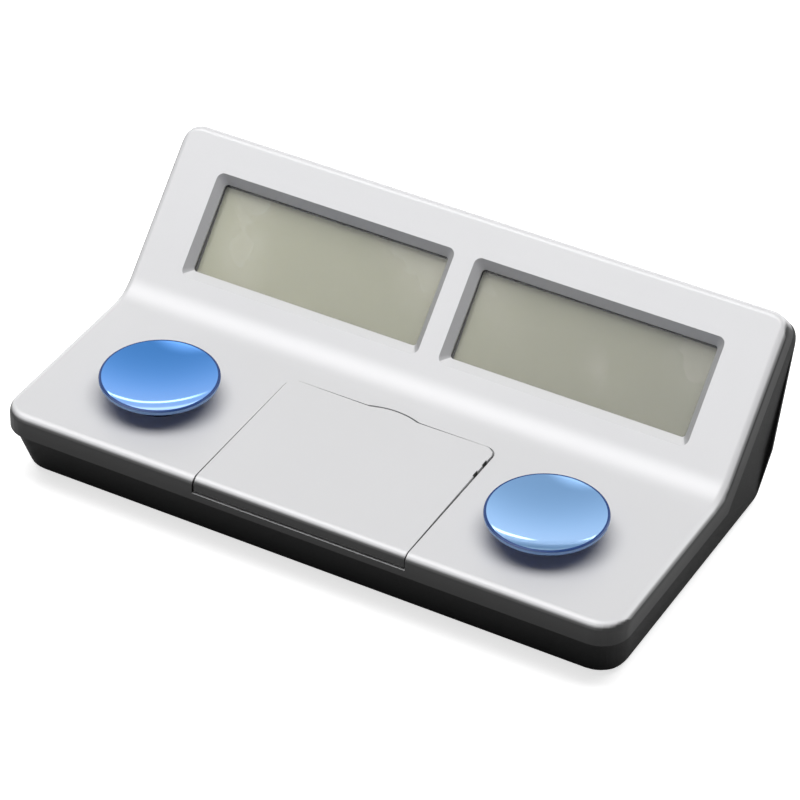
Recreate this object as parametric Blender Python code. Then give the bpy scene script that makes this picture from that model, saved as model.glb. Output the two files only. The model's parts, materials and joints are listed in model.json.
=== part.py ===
"""Two-display game clock: a wedge-shaped housing with two dished push buttons and a lid over its set keys.

All lengths are in metres and +Z is up. The clock stands on its four feet, its front faces -Y and it is
centred on X and Y. The deck is the flat front part of the cover, and the panel is the leaning display part.
"""
import math

import bmesh
import bpy
from mathutils import Matrix, Vector

# Housing, seen from the side
body_width = 0.2000
foot_height = 0.0012
deck_height = 0.0234
deck_depth = 0.0675
panel_length = 0.0553
panel_slope_deg = 45.56
head_thickness = 0.0165
rim_depth = 0.0073
foot_inset_front = 0.0052
back_lean = 0.0163
corner_radius = 0.0090
head_corner_radius = 0.0062
top_edge_radius = 0.0028
crease_radius = 0.0140
crest_radius = 0.0022
back_top_radius = 0.0034
floor_edge_radius = 0.0026
housing_step = 0.0007
side_draft = 0.0022
deck_wall = 0.0024
panel_wall = 0.0030
side_wall = 0.0024
piece_gap = 0.0003
cut_overrun = 0.0020

# Display windows, measured on the panel from its centre line and from the crease
window_inner_x = 0.00335
window_outer_margin = 0.01605
window_low = 0.0104
window_height = 0.0330
window_slope_side = 0.0023
window_slope_rise = 0.0026
window_slope_depth = 0.0024
window_corner_radius = 0.0022

# Push buttons
button_side_margin = 0.0369
button_depth_share = 0.437
button_radius = 0.0177
button_rim_height = 0.0070
button_rim_thickness = 0.0015
button_dish_depth = 0.0022
button_travel = 0.0025
stem_radius = 0.0105
stem_flange_radius = 0.0125
stem_flange_thickness = 0.0012
stem_wall = 0.0016
stem_post_radius = 0.0022
guide_wall = 0.0014
guide_length = 0.0061
spring_radius = 0.0061
spring_wire = 0.0009
spring_turns = 5

# Lid over the set keys
lid_button_gap = 0.0112
lid_crease_gap = 0.0124
lid_thickness = 0.0020
lid_corner_radius = 0.0035
lid_gap = 0.0003
lid_face_setback = 0.00035
lid_barrel_radius = 0.0014
lid_lip_reach = 0.0020
lid_lip_corner = 0.0005
lid_tab_width = 0.0165
lid_tab_reach = 0.0017
lid_notch_from_back = 0.0069
lid_notch_spacing = 0.0055
lid_notch_length = 0.0027
lid_notch_depth = 0.0006
hinge_pin_radius = 0.0006
hinge_pin_length = 0.0080

# Well below the lid, its tray and keys
ledge_width = 0.0020
well_wall = 0.0015
well_depth = 0.0072
tray_thickness = 0.0015
key_width_share = 0.1754
key_depth_share = 0.1633
key_spacing_x_share = 0.4386
key_spacing_y_share = 0.3267
key_middle_share = 0.5263
key_top_below_deck = 0.0046
key_flange_width = 0.0012
key_flange_thickness = 0.0008
key_travel = 0.0008
key_corner_radius = 0.0018
keypad_sheet_thickness = 0.0005

# Circuit boards and what is on them
board_thickness = 0.0016
board_top_below_deck = 0.0120
main_board_side_margin = 0.0180
main_board_crease_gap = 0.0100
main_board_from_front = 0.0075
switch_size = 0.0060
switch_body_height = 0.0034
switch_actuator_radius = 0.0017
switch_actuator_height = 0.0010
chip_size = 0.0140
chip_height = 0.0016
display_board_side_margin = 0.0090
display_board_low = 0.0088
display_board_high = 0.0500

# Displays, stacked below the panel
lens_thickness = 0.0010
glass_thickness = 0.0022
glass_margin = 0.0016
frame_wall = 0.0015
strip_width = 0.0022
display_board_depth = 0.0094

# Posts and screws
cover_post_radius = 0.0032
screw_hole_radius = 0.0016
screw_radius = 0.0012
screw_head_radius = 0.0025
screw_head_height = 0.0014
screw_length = 0.0090
screw_recess_radius = 0.0029
front_screw_side_margin = 0.0300
front_screw_from_front = 0.0130
back_screw_side_margin = 0.0095
back_screw_crease_gap = 0.0065
post_joint_height = 0.0114
small_post_radius = 0.0020
small_screw_hole_radius = 0.0010
small_screw_radius = 0.0007
small_screw_head_radius = 0.0016
small_screw_head_height = 0.0008
small_screw_length = 0.0050
display_post_side_margin = 0.0115

# Battery bay under the leaning head
cell_radius = 0.00725
cell_length = 0.0495
cell_nub_radius = 0.0026
cell_nub_length = 0.0010
cell_gap = 0.0003
bay_wall = 0.0015
bay_roof = 0.0010
bay_behind_crease = 0.0049
bay_end_room = 0.0034
contact_thickness = 0.0004
contact_coil_radius = 0.0032
contact_wire = 0.0006
contact_turns = 3
door_thickness = 0.0015
door_gap = 0.0003
door_width = 0.0560
door_depth = 0.0262
door_from_bay_front = 0.0020
door_hook_width = 0.0080
door_hook_reach = 0.0014
door_hook_thickness = 0.0008
door_hook_spacing = 0.0340
door_tongue_width = 0.0120
door_tongue_length = 0.0090
door_tongue_slot = 0.0008
door_rib_width = 0.0008
door_rib_height = 0.0005
door_grip_ribs = 3

# Feet and buzzer
foot_radius = 0.0055
foot_recess = 0.0006
foot_side_margin = 0.0150
front_foot_from_front = 0.0215
back_foot_behind_crease = 0.0255
buzzer_radius = 0.0080
buzzer_height = 0.0032
buzzer_side_share = 0.3
buzzer_behind_crease = 0.0155
buzzer_slots = 5
buzzer_slot_width = 0.0012
buzzer_slot_length = 0.0090

# Counts of facets along round stretches
corner_steps = 7
edge_steps = 6
wire_sides = 6
cap_sides = 44
round_sides = 28
small_round_sides = 12
coil_steps = 10

# Sizes that follow from the housing's width and from the deck's depth
window_width = body_width / 2 - window_inner_x - window_outer_margin
button_x = body_width / 2 - button_side_margin
button_y_from_front = deck_depth * button_depth_share
lid_width = 2 * (button_x - button_radius - lid_button_gap)
lid_depth = deck_depth - lid_crease_gap
key_width = lid_width * key_width_share
key_depth = lid_depth * key_depth_share
key_spacing_x = lid_width * key_spacing_x_share
key_spacing_y = lid_depth * key_spacing_y_share
key_middle_from_front = lid_depth * key_middle_share
main_board_width = body_width - 2 * main_board_side_margin
main_board_depth = deck_depth - main_board_from_front - main_board_crease_gap
display_board_width = body_width - 2 * display_board_side_margin
display_post_x = body_width / 2 - display_post_side_margin
bay_front = deck_depth + bay_behind_crease
screw_places = ((body_width / 2 - front_screw_side_margin, front_screw_from_front),
                (body_width / 2 - back_screw_side_margin, deck_depth - back_screw_crease_gap))
foot_places = ((body_width / 2 - foot_side_margin, front_foot_from_front),
               (body_width / 2 - foot_side_margin, deck_depth + back_foot_behind_crease))
buzzer_x = -body_width * buzzer_side_share
buzzer_from_front = deck_depth + buzzer_behind_crease

slope = math.radians(panel_slope_deg)
along = Vector((0, math.cos(slope), math.sin(slope)))
outward = Vector((0, -math.sin(slope), math.cos(slope)))


def moved(point, direction, distance):
    """The (y, z) point that lies a distance along a direction in the side view."""
    return (point[0] + direction[1] * distance, point[1] + direction[2] * distance)


def signed_area(points):
    total = 0
    for index, (y, z) in enumerate(points):
        next_y, next_z = points[(index + 1) % len(points)]
        total += y * next_z - next_y * z
    return total / 2


def inset_outline(points, insets):
    """Move each edge of a counter-clockwise outline inwards by its inset and meet the edges again."""
    lines = []
    count = len(points)
    for index in range(count):
        start = Vector(points[index])
        end = Vector(points[(index + 1) % count])
        run = (end - start).normalized()
        inward = Vector((-run.y, run.x))
        lines.append((start + inward * insets[index], run))
    result = []
    for index in range(count):
        first_point, first_run = lines[index - 1]
        second_point, second_run = lines[index]
        turn = first_run.cross(second_run)
        if abs(turn) < 1e-6:
            result.append(tuple(second_point))
            continue
        distance = (second_point - first_point).cross(second_run) / turn
        result.append(tuple(first_point + first_run * distance))
    return result


def rounded_outline(points, radii, steps):
    """Replace each corner of an outline that has a radius by an arc of straight steps."""
    result = []
    count = len(points)
    for index in range(count):
        corner = Vector(points[index])
        radius = radii[index]
        if radius <= 0:
            result.append(tuple(corner))
            continue
        before = (Vector(points[index - 1]) - corner).normalized()
        after = (Vector(points[(index + 1) % count]) - corner).normalized()
        half = before.angle(after) / 2
        reach = radius / math.tan(half)
        centre = corner + (before + after).normalized() * (radius / math.sin(half))
        first = corner + before * reach - centre
        last = corner + after * reach - centre
        turn = math.atan2(first.cross(last), first.dot(last))
        for step in range(steps + 1):
            angle = turn * step / steps
            spoke = Vector((first.x * math.cos(angle) - first.y * math.sin(angle),
                            first.x * math.sin(angle) + first.y * math.cos(angle)))
            result.append(tuple(centre + spoke))
    return result


def rectangle(low_x, high_x, low_y, high_y):
    return [(low_x, low_y), (high_x, low_y), (high_x, high_y), (low_x, high_y)]


def round_rectangle(low_x, high_x, low_y, high_y, radius, steps=edge_steps):
    return rounded_outline(rectangle(low_x, high_x, low_y, high_y), [radius] * 4, steps)


def circle(radius, sides, centre=(0, 0)):
    return [(centre[0] + radius * math.cos(math.tau * index / sides),
             centre[1] + radius * math.sin(math.tau * index / sides)) for index in range(sides)]


def arc_inset(distance_from_end, radius):
    """How far a quarter-round edge has receded at a distance from its end."""
    if radius <= 0:
        return 0
    reach = radius - distance_from_end
    if reach <= 0:
        return 0
    reach = min(reach, radius)
    return radius - math.sqrt(radius * radius - reach * reach)


def ring_solid(rings):
    """A closed solid through rings of points, with the first and last ring filled."""
    mesh = bmesh.new()
    rows = [[mesh.verts.new(point) for point in ring] for ring in rings]
    count = len(rows[0])
    for first, second in zip(rows, rows[1:]):
        for index in range(count):
            following = (index + 1) % count
            mesh.faces.new((first[index], first[following], second[following], second[index]))
    mesh.faces.new(rows[0])
    mesh.faces.new(rows[-1])
    bmesh.ops.recalc_face_normals(mesh, faces=mesh.faces)
    return mesh


def prism(outline, low, high):
    """An outline in X and Y, extruded along Z."""
    return ring_solid([[Vector((x, y, z)) for x, y in outline] for z in (low, high)])


def side_prism(outline, low, high):
    """An outline in Y and Z, extruded along X."""
    return ring_solid([[Vector((x, y, z)) for y, z in outline] for x in (low, high)])


def cylinder(radius, low, high, sides=round_sides, centre=(0, 0)):
    return prism(circle(radius, sides, centre), low, high)


def side_cylinder(radius, low, high, centre, sides=small_round_sides):
    return side_prism(circle(radius, sides, centre), low, high)


def turned(profile, sides=round_sides):
    """A profile of (radius, height) points that starts and ends on the axis, turned about Z."""
    mesh = bmesh.new()
    rows = []
    for radius, height in profile:
        if radius == 0:
            rows.append([mesh.verts.new((0, 0, height))])
            continue
        rows.append([mesh.verts.new((x, y, height)) for x, y in circle(radius, sides)])
    for first, second in zip(rows, rows[1:]):
        for index in range(sides):
            following = (index + 1) % sides
            if len(first) == 1:
                mesh.faces.new((first[0], second[following], second[index]))
            elif len(second) == 1:
                mesh.faces.new((first[index], first[following], second[0]))
            else:
                mesh.faces.new((first[index], first[following], second[following], second[index]))
    bmesh.ops.recalc_face_normals(mesh, faces=mesh.faces)
    return mesh


def material(name, colour, roughness, metallic=0.0):
    finish = bpy.data.materials.new(name)
    finish.use_nodes = True
    shader = finish.node_tree.nodes["Principled BSDF"]
    shader.inputs["Base Color"].default_value = (*colour, 1.0)
    shader.inputs["Roughness"].default_value = roughness
    shader.inputs["Metallic"].default_value = metallic
    finish.diffuse_color = (*colour, 1.0)
    return finish


def add_object(name, mesh, finish, location=(0, 0, 0), parent=None, smooth_deg=35):
    data = bpy.data.meshes.new(name)
    mesh.to_mesh(data)
    mesh.free()
    data.shade_smooth()
    data.set_sharp_from_angle(angle=math.radians(smooth_deg))
    piece = bpy.data.objects.new(name, data)
    bpy.context.scene.collection.objects.link(piece)
    piece.location = location
    piece.parent = parent
    if finish is not None:
        data.materials.append(finish)
    return piece


def add_cutter(name, mesh, location=(0, 0, 0), parent=None):
    cutter = add_object(name, mesh, None, location, parent)
    cutter.hide_render = True
    cutter.display_type = 'WIRE'
    return cutter


def boolean(piece, mesh, operation, label, location=(0, 0, 0), parent=None):
    """Add a Boolean modifier that joins, cuts or keeps the overlap with a solid."""
    cutter = add_cutter(piece.name + "_" + label, mesh, location, parent)
    step = piece.modifiers.new(label, 'BOOLEAN')
    step.operation = operation
    step.solver = 'EXACT'
    step.object = cutter
    return cutter


def join(piece, mesh, label, location=(0, 0, 0), parent=None):
    return boolean(piece, mesh, 'UNION', label, location, parent)


def cut(piece, mesh, label, location=(0, 0, 0), parent=None):
    return boolean(piece, mesh, 'DIFFERENCE', label, location, parent)


def merged(meshes):
    """Several separate solids in one mesh, for one cut or for one joining step."""
    whole = bmesh.new()
    for mesh in meshes:
        data = bpy.data.meshes.new("part_of_cut")
        mesh.to_mesh(data)
        mesh.free()
        whole.from_mesh(data)
        bpy.data.meshes.remove(data)
    return whole


# Places that follow from the driving dimensions. Side-view points are (y, z) with y from the front edge.
crease_point = (deck_depth, deck_height)
crest_point = moved(crease_point, along, panel_length)
back_top_point = moved(crest_point, outward, -head_thickness)
back_foot_point = (back_top_point[0] - back_lean, foot_height)
front_part_point = (0, deck_height - rim_depth)
crease_part_point = (deck_depth + rim_depth * math.tan(slope / 2), deck_height - rim_depth)
crest_part_point = moved(crest_point, outward, -rim_depth)


def back_reach():
    """The furthest point of the rounded upper back edge from the front edge."""
    corner = [crest_point, back_top_point, back_foot_point]
    before = (Vector(corner[0]) - Vector(corner[1])).normalized()
    after = (Vector(corner[2]) - Vector(corner[1])).normalized()
    half = before.angle(after) / 2
    centre = Vector(corner[1]) + (before + after).normalized() * (back_top_radius / math.sin(half))
    return centre.x + back_top_radius


front_y = -back_reach() / 2
button_y = front_y + button_y_from_front
under_deck = deck_height - deck_wall
board_top = deck_height - board_top_below_deck
inner_floor = foot_height + side_wall
pin_y = front_y + lid_barrel_radius + lid_face_setback
pin_z = deck_height - lid_thickness - lid_barrel_radius + lid_barrel_radius / 2
half_lid = lid_width / 2
lid_back = front_y + lid_depth
tray_top = deck_height - well_depth - piece_gap
well_front = pin_y + lid_barrel_radius + lid_gap


def shifted(points):
    """Side-view points counted from the front edge, moved to the centred frame."""
    return [(y + front_y, z) for y, z in points]


def end_places(half_width, radii):
    """Distances from the middle to the rings that form the rounded ends."""
    places = {0.0}
    for radius in [radius for radius in radii if radius > 0]:
        for step in range(corner_steps + 1):
            angle = math.pi / 2 * step / corner_steps
            places.add(round(half_width - radius * (1 - math.sin(angle)), 7))
    places.discard(0.0)
    ordered = sorted(places)
    return [-place for place in reversed(ordered)] + ordered


def cover_sections(inset, deck_inset, panel_inset, part_overrun, edge_radius):
    """Rings of the bent cover, from its left end to its right end."""
    outline = shifted([front_part_point, crease_part_point, crest_part_point,
                       crest_point, crease_point, (0, deck_height)])
    half_width = body_width / 2 - inset
    front_radius = corner_radius - inset
    head_radius = head_corner_radius - inset
    rings = []
    for x in end_places(half_width, (front_radius, head_radius, edge_radius)):
        from_end = half_width - abs(x)
        front_wall = inset + arc_inset(from_end, front_radius)
        head_wall = inset + arc_inset(from_end, head_radius)
        top = arc_inset(from_end, edge_radius)
        insets = [-part_overrun, -part_overrun, head_wall, panel_inset + top, deck_inset + top, front_wall]
        points = inset_outline(outline, insets)
        radii = [0, 0, 0, max(crest_radius - inset, 0), crease_radius + panel_inset,
                 max(top_edge_radius - inset, 0)]
        points = rounded_outline(points, radii, edge_steps)
        rings.append([Vector((x, y, z)) for y, z in points])
    return rings


def housing_sections(inset, part_overrun, edge_radius):
    """Rings of the lower housing, narrowed towards its floor by the side draft."""
    part_level = deck_height - rim_depth
    back_share = (part_level - back_foot_point[1]) / (back_top_point[1] - back_foot_point[1])
    back_level = back_foot_point[0] + (back_top_point[0] - back_foot_point[0]) * back_share
    outline = shifted([front_part_point, (foot_inset_front, foot_height), back_foot_point,
                       (back_level, part_level), back_top_point, crest_part_point, crease_part_point])
    half_width = body_width / 2 - housing_step - inset
    front_radius = corner_radius - inset
    head_radius = head_corner_radius - inset
    rings = []
    for x in end_places(half_width, (front_radius, head_radius, edge_radius)):
        from_end = half_width - abs(x)
        wall = inset + housing_step + arc_inset(from_end, front_radius)
        back = inset + arc_inset(from_end, head_radius)
        floor = inset + arc_inset(from_end, edge_radius)
        insets = [wall, floor, back, back, back, -part_overrun, -part_overrun]
        points = inset_outline(outline, insets)
        radii = [0, max(floor_edge_radius - inset, 0), max(floor_edge_radius - inset, 0), 0,
                 max(back_top_radius - inset, 0), 0, 0]
        points = rounded_outline(points, radii, edge_steps)
        ring = []
        for y, z in points:
            share = min(max((part_level - z) / (part_level - foot_height), 0), 1)
            ring.append(Vector((x * (1 - side_draft / half_width * share), y, z)))
        rings.append(ring)
    return rings


def make_cover(finish):
    """Bent silver cover: deck, panel and a rim all round, with two windows and the lid's well."""
    cover = add_object("top_cover", ring_solid(cover_sections(0, 0, 0, 0, top_edge_radius)), finish)
    inside = cover_sections(side_wall, deck_wall, panel_wall, cut_overrun, 0)
    cut(cover, ring_solid(inside), "inside")
    join_cover_posts(cover)
    join_well(cover)
    cut_windows(cover)
    cut_button_guides(cover)
    cut_well(cover)
    return cover


def join_cover_posts(cover):
    top = under_deck + deck_wall / 2
    for row, (x, from_front) in enumerate(screw_places):
        for side in (-1, 1):
            post = cylinder(cover_post_radius, post_joint_height, top, small_round_sides)
            name = "post_%d_%d" % (row, side)
            join(cover, post, name, (side * x, front_y + from_front, 0))
            hole = cylinder(screw_hole_radius, post_joint_height - cut_overrun,
                            under_deck - piece_gap, small_round_sides)
            cut(cover, hole, "hole_" + name, (side * x, front_y + from_front, 0))
    low = -display_board_depth + piece_gap
    for number, (x, s) in enumerate(display_post_places()):
        join(cover, cylinder(small_post_radius, low, -panel_wall / 2, small_round_sides),
             "display_post_%d" % number, (x, s, 0), panel_frame)
        cut(cover, cylinder(small_screw_hole_radius, low - cut_overrun, -panel_wall - piece_gap,
                            small_round_sides),
            "display_hole_%d" % number, (x, s, 0), panel_frame)
    for side in (-1, 1):
        ring = cylinder(stem_flange_radius + guide_wall + 2 * piece_gap, under_deck - guide_length,
                        under_deck + deck_wall / 2)
        join(cover, ring, "guide_%d" % side, (side * button_x, button_y, 0))


def display_post_places():
    """Places of the four display posts on the panel, as X and as distance above the crease."""
    middle = window_low + window_height / 2
    inner_low = window_low + small_post_radius
    inner_high = window_low + window_height
    return ((0, inner_low), (0, inner_high), (-display_post_x, middle), (display_post_x, middle))


def join_well(cover):
    outline = rectangle(-half_lid - lid_gap - well_wall, half_lid + lid_gap + well_wall,
                        front_y + side_wall / 2, lid_back + lid_gap + lid_tab_reach + well_wall)
    join(cover, prism(outline, deck_height - well_depth, under_deck + deck_wall / 2), "well")


def window_solid(side):
    """A window's cut: sloped walls down to the lens opening, then straight through the panel."""
    levels = []
    rise_share = cut_overrun / window_slope_depth
    for height, share in ((cut_overrun, -rise_share), (-window_slope_depth, 1),
                          (-panel_wall - cut_overrun, 1)):
        low_x = window_inner_x + window_slope_side * share
        high_x = window_inner_x + window_width - window_slope_side * share
        low_s = window_low + window_slope_rise * share
        high_s = window_low + window_height - window_slope_rise * share
        radius = window_corner_radius * (1 - share / 2)
        outline = round_rectangle(low_x, high_x, low_s, high_s, radius)
        levels.append([Vector((side * x, s, height)) for x, s in outline])
    return ring_solid(levels)


def cut_windows(cover):
    for side in (-1, 1):
        cut(cover, window_solid(side), "window_%d" % side, (0, 0, 0), panel_frame)


def cut_button_guides(cover):
    for side in (-1, 1):
        place = (side * button_x, button_y, 0)
        cut(cover, cylinder(stem_radius + piece_gap, under_deck - cut_overrun, deck_height + cut_overrun),
            "stem_hole_%d" % side, place)
        cut(cover, cylinder(stem_flange_radius + piece_gap, under_deck - guide_length - cut_overrun,
                            under_deck), "flange_room_%d" % side, place)


def lid_plan(gap):
    """Plan of the lid with its rounded back corners and its thumb tab, grown by a gap."""
    half = half_lid + gap
    back = lid_back + gap
    corner = lid_corner_radius + gap
    half_tab = lid_tab_width / 2 + gap
    arc_radius = (half_tab ** 2 + lid_tab_reach ** 2) / (2 * lid_tab_reach)
    arc_centre = back + lid_tab_reach - arc_radius
    points = [(-half, front_y - cut_overrun), (half, front_y - cut_overrun)]
    corners = rounded_outline([(0, front_y), (half, front_y), (half, back), (0, back)],
                              [0, 0, corner, 0], edge_steps)
    points += corners[2:-1]
    turn = math.asin(half_tab / arc_radius)
    for step in range(2 * edge_steps + 1):
        angle = turn - turn * step / edge_steps
        points.append((arc_radius * math.sin(angle), arc_centre + arc_radius * math.cos(angle)))
    points += [(-x, y) for x, y in reversed(corners[2:-1])]
    return points


def cut_well(cover):
    """The pocket that the lid lies in, the well below it, and the sockets of the hinge pins."""
    pocket = prism(lid_plan(lid_gap), deck_height - lid_thickness - piece_gap, deck_height + cut_overrun)
    cut(cover, pocket, "lid_pocket")
    cut(cover, side_prism(lip_room_outline(), -half_lid - lid_gap, half_lid + lid_gap), "lip_room")
    opening = prism(round_rectangle(-half_lid + ledge_width, half_lid - ledge_width,
                                    well_front + well_wall, lid_back - ledge_width, lid_corner_radius),
                    deck_height - well_depth - cut_overrun, deck_height - lid_thickness + piece_gap)
    cut(cover, opening, "well_opening")
    socket_end = half_lid + lid_gap + hinge_pin_length / 2
    for side in (-1, 1):
        low, high = sorted((side * (half_lid - lid_gap), side * socket_end))
        cut(cover, side_cylinder(hinge_pin_radius + piece_gap, low, high, (pin_y, pin_z)),
            "pin_socket_%d" % side)


def lip_room_outline():
    """Side view of the room in the cover's front for the lid's lip, round below so that the lip can turn."""
    low = pin_z - lid_lip_reach - lid_gap
    upper = deck_height + cut_overrun
    corner = Vector((lid_barrel_radius - lid_lip_corner, lid_lip_reach - lid_lip_corner))
    radius = corner.length + lid_lip_corner + lid_gap
    points = [(front_y - cut_overrun, upper), (front_y - cut_overrun, low)]
    start = math.asin((lid_lip_reach + lid_gap) / radius)
    for step in range(2 * edge_steps + 1):
        angle = start + (math.pi - start) * step / (2 * edge_steps)
        points.append((pin_y - radius * math.cos(angle), pin_z - radius * math.sin(angle)))
    return points + [(well_front, pin_z + pin_y + radius - well_front), (well_front, upper)]


def make_lid(finish):
    """Lid whose front turns down over the deck's front edge and holds the hinge barrel."""
    face = front_y + lid_face_setback
    back = lid_back + lid_tab_reach
    low = pin_z - lid_lip_reach
    under = deck_height - lid_thickness
    barrel = pin_y + lid_barrel_radius
    profile = rounded_outline([(face, low), (face, deck_height), (back, deck_height), (back, under),
                               (barrel, under), (barrel, low)],
                              [lid_lip_corner, top_edge_radius - lid_face_setback, 0, 0, 0, lid_barrel_radius],
                              edge_steps)
    profile = [(y - pin_y, z - pin_z) for y, z in profile]
    lid = add_object("setting_lid", side_prism(profile, -half_lid, half_lid), finish, (0, pin_y, pin_z))
    plan = [(x, y - pin_y) for x, y in lid_plan(0)]
    boolean(lid, prism(plan, -lid_lip_reach - cut_overrun, deck_height - pin_z + cut_overrun),
            'INTERSECT', "plan", (0, pin_y, pin_z))
    for side in (-1, 1):
        low, high = sorted((side * (half_lid - hinge_pin_length / 2), side * (half_lid + cut_overrun)))
        cut(lid, side_cylinder(hinge_pin_radius + piece_gap, low, high, (0, 0)), "pin_hole_%d" % side,
            (0, pin_y, pin_z))
    notches = []
    for number in range(2):
        high_y = lid_back - pin_y - lid_notch_from_back - number * lid_notch_spacing + lid_notch_length / 2
        notches.append(prism(rectangle(half_lid - lid_notch_depth, half_lid + cut_overrun,
                                       high_y - lid_notch_length, high_y), 0, deck_height - pin_z + cut_overrun))
    cut(lid, merged(notches), "edge_notches", (0, pin_y, pin_z))
    return lid


def make_hinge_pins(finish):
    for side, name in ((-1, "lid_hinge_pin_left"), (1, "lid_hinge_pin_right")):
        middle = half_lid + lid_gap / 2
        half = hinge_pin_length / 2 - piece_gap
        low, high = sorted((side * (middle - half), side * (middle + half)))
        add_object(name, side_cylinder(hinge_pin_radius, low, high, (0, 0)), finish, (0, pin_y, pin_z))


def key_places():
    for row in (0, 1):
        for column in (-1, 1):
            yield (column * key_spacing_x / 2,
                   front_y + key_middle_from_front + (row - 1 / 2) * key_spacing_y, row * 2 + (column + 3) // 2)


def make_key_tray(finish):
    half = half_lid + lid_gap + well_wall
    low_y = well_front + 2 * piece_gap
    high_y = lid_back + lid_gap + lid_tab_reach + well_wall
    outline = round_rectangle(-half, half, low_y, high_y, lid_corner_radius)
    tray = add_object("key_tray", prism(outline, tray_top - tray_thickness, tray_top), finish)
    feet = []
    for x in (-half + lid_corner_radius, half - lid_corner_radius):
        for y in (low_y + lid_corner_radius, high_y - 2 * lid_corner_radius):
            feet.append(cylinder(small_post_radius, board_top + piece_gap, tray_top - tray_thickness / 2,
                                 small_round_sides, (x, y)))
    join(tray, merged(feet), "feet")
    for x, y, number in key_places():
        hole = round_rectangle(-key_width / 2 - piece_gap, key_width / 2 + piece_gap,
                               -key_depth / 2 - piece_gap, key_depth / 2 + piece_gap,
                               key_corner_radius + piece_gap)
        cut(tray, prism(hole, tray_top - tray_thickness - cut_overrun, tray_top + cut_overrun),
            "key_hole_%d" % number, (x, y, 0))


def make_keys(finish):
    """Four set keys: rounded caps with a flange that the tray holds down."""
    flange_top = tray_top - tray_thickness - piece_gap
    top = deck_height - key_top_below_deck
    edge = key_corner_radius / 2
    for x, y, number in key_places():
        half_x = key_width / 2
        half_y = key_depth / 2
        wide_x = half_x + key_flange_width
        wide_y = half_y + key_flange_width
        levels = [(wide_x, wide_y, flange_top - key_flange_thickness), (wide_x, wide_y, flange_top),
                  (half_x, half_y, flange_top), (half_x, half_y, top - edge),
                  (half_x - edge / 3, half_y - edge / 3, top - edge / 3), (half_x - edge, half_y - edge, top)]
        rings = []
        for reach_x, reach_y, level in levels:
            outline = round_rectangle(-reach_x, reach_x, -reach_y, reach_y, key_corner_radius)
            rings.append([Vector((u, v, level - flange_top)) for u, v in outline])
        add_object("set_key_%d" % number, ring_solid(rings), finish, (x, y, flange_top))


def make_keypad_sheet(finish):
    reach_x = key_spacing_x / 2 + key_width
    reach_y = key_spacing_y / 2 + key_depth
    outline = round_rectangle(-reach_x, reach_x, -reach_y, reach_y, key_corner_radius)
    add_object("keypad_sheet", prism(outline, board_top + piece_gap,
                                     board_top + piece_gap + keypad_sheet_thickness), finish,
               (0, front_y + key_middle_from_front, 0))


def make_button(side, name, cap_finish, stem_finish, spring_finish):
    """One push button: dished cap, hollow stem held by the guide, and the return spring inside it."""
    place = (side * button_x, button_y, deck_height)
    rim = button_rim_height
    hub_low = rim - button_dish_depth - button_rim_thickness
    edge = button_rim_thickness / 4
    dish_edge = button_radius - 3 * edge
    dish_radius = (dish_edge ** 2 + button_dish_depth ** 2) / (2 * button_dish_depth)
    profile = [(0, hub_low), (stem_radius - edge, hub_low), (button_radius - 2 * edge, rim - button_rim_thickness),
               (button_radius, rim - button_rim_thickness + edge), (button_radius, rim - edge),
               (button_radius - edge, rim), (dish_edge, rim)]
    dish_steps = edge_steps + 2
    for step in range(1, dish_steps):
        radius = dish_edge * (1 - step / dish_steps)
        profile.append((radius, rim - button_dish_depth + dish_radius
                        - math.sqrt(dish_radius ** 2 - radius ** 2)))
    profile.append((0, rim - button_dish_depth))
    add_object(name + "_button_cap", turned(profile, cap_sides), cap_finish, place, smooth_deg=50)

    stem_top = hub_low - piece_gap
    flange_top = -deck_wall - piece_gap
    flange_low = flange_top - stem_flange_thickness
    roof = stem_top - stem_wall
    actuator_top = (-board_top_below_deck + piece_gap + switch_body_height + switch_actuator_height)
    post_low = actuator_top + button_travel + piece_gap
    cup = stem_radius - stem_wall
    profile = [(0, post_low), (stem_post_radius, post_low), (stem_post_radius, roof), (cup, roof),
               (cup, flange_low), (stem_flange_radius, flange_low), (stem_flange_radius, flange_top),
               (stem_radius, flange_top), (stem_radius, stem_top - edge), (stem_radius - edge, stem_top),
               (0, stem_top)]
    add_object(name + "_button_stem", turned(profile), stem_finish, place)

    low = -board_top_below_deck + piece_gap + spring_wire / 2
    high = roof - piece_gap - spring_wire / 2
    add_coil(name + "_return_spring", spring_radius, spring_wire, spring_turns, low, high,
             spring_finish, place)


def add_coil(name, radius, wire, turns, low, high, finish, place, turn_matrix=None):
    """A round coil that climbs evenly from low to high, as rings of a round section."""
    count = turns * coil_steps
    rings = []
    for index in range(count + 1):
        angle = math.tau * index / coil_steps
        level = low + (high - low) * index / count
        ring = []
        for reach, rise in circle(wire / 2, wire_sides):
            ring.append(Vector(((radius + reach) * math.cos(angle), (radius + reach) * math.sin(angle),
                                level + rise)))
        if turn_matrix is not None:
            ring = [turn_matrix @ point for point in ring]
        rings.append(ring)
    coil = ring_solid(rings)
    bmesh.ops.triangulate(coil, faces=coil.faces)
    return add_object(name, coil, finish, place, smooth_deg=70)


def make_switches(finish):
    low = board_top + piece_gap
    half = switch_size / 2
    for side, name in ((-1, "left_button_switch"), (1, "right_button_switch")):
        body = add_object(name, prism(rectangle(-half, half, -half, half), low, low + switch_body_height),
                          finish, (side * button_x, button_y, 0))
        join(body, cylinder(switch_actuator_radius, low + switch_body_height / 2,
                            low + switch_body_height + switch_actuator_height, small_round_sides),
             "actuator", (side * button_x, button_y, 0))


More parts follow.
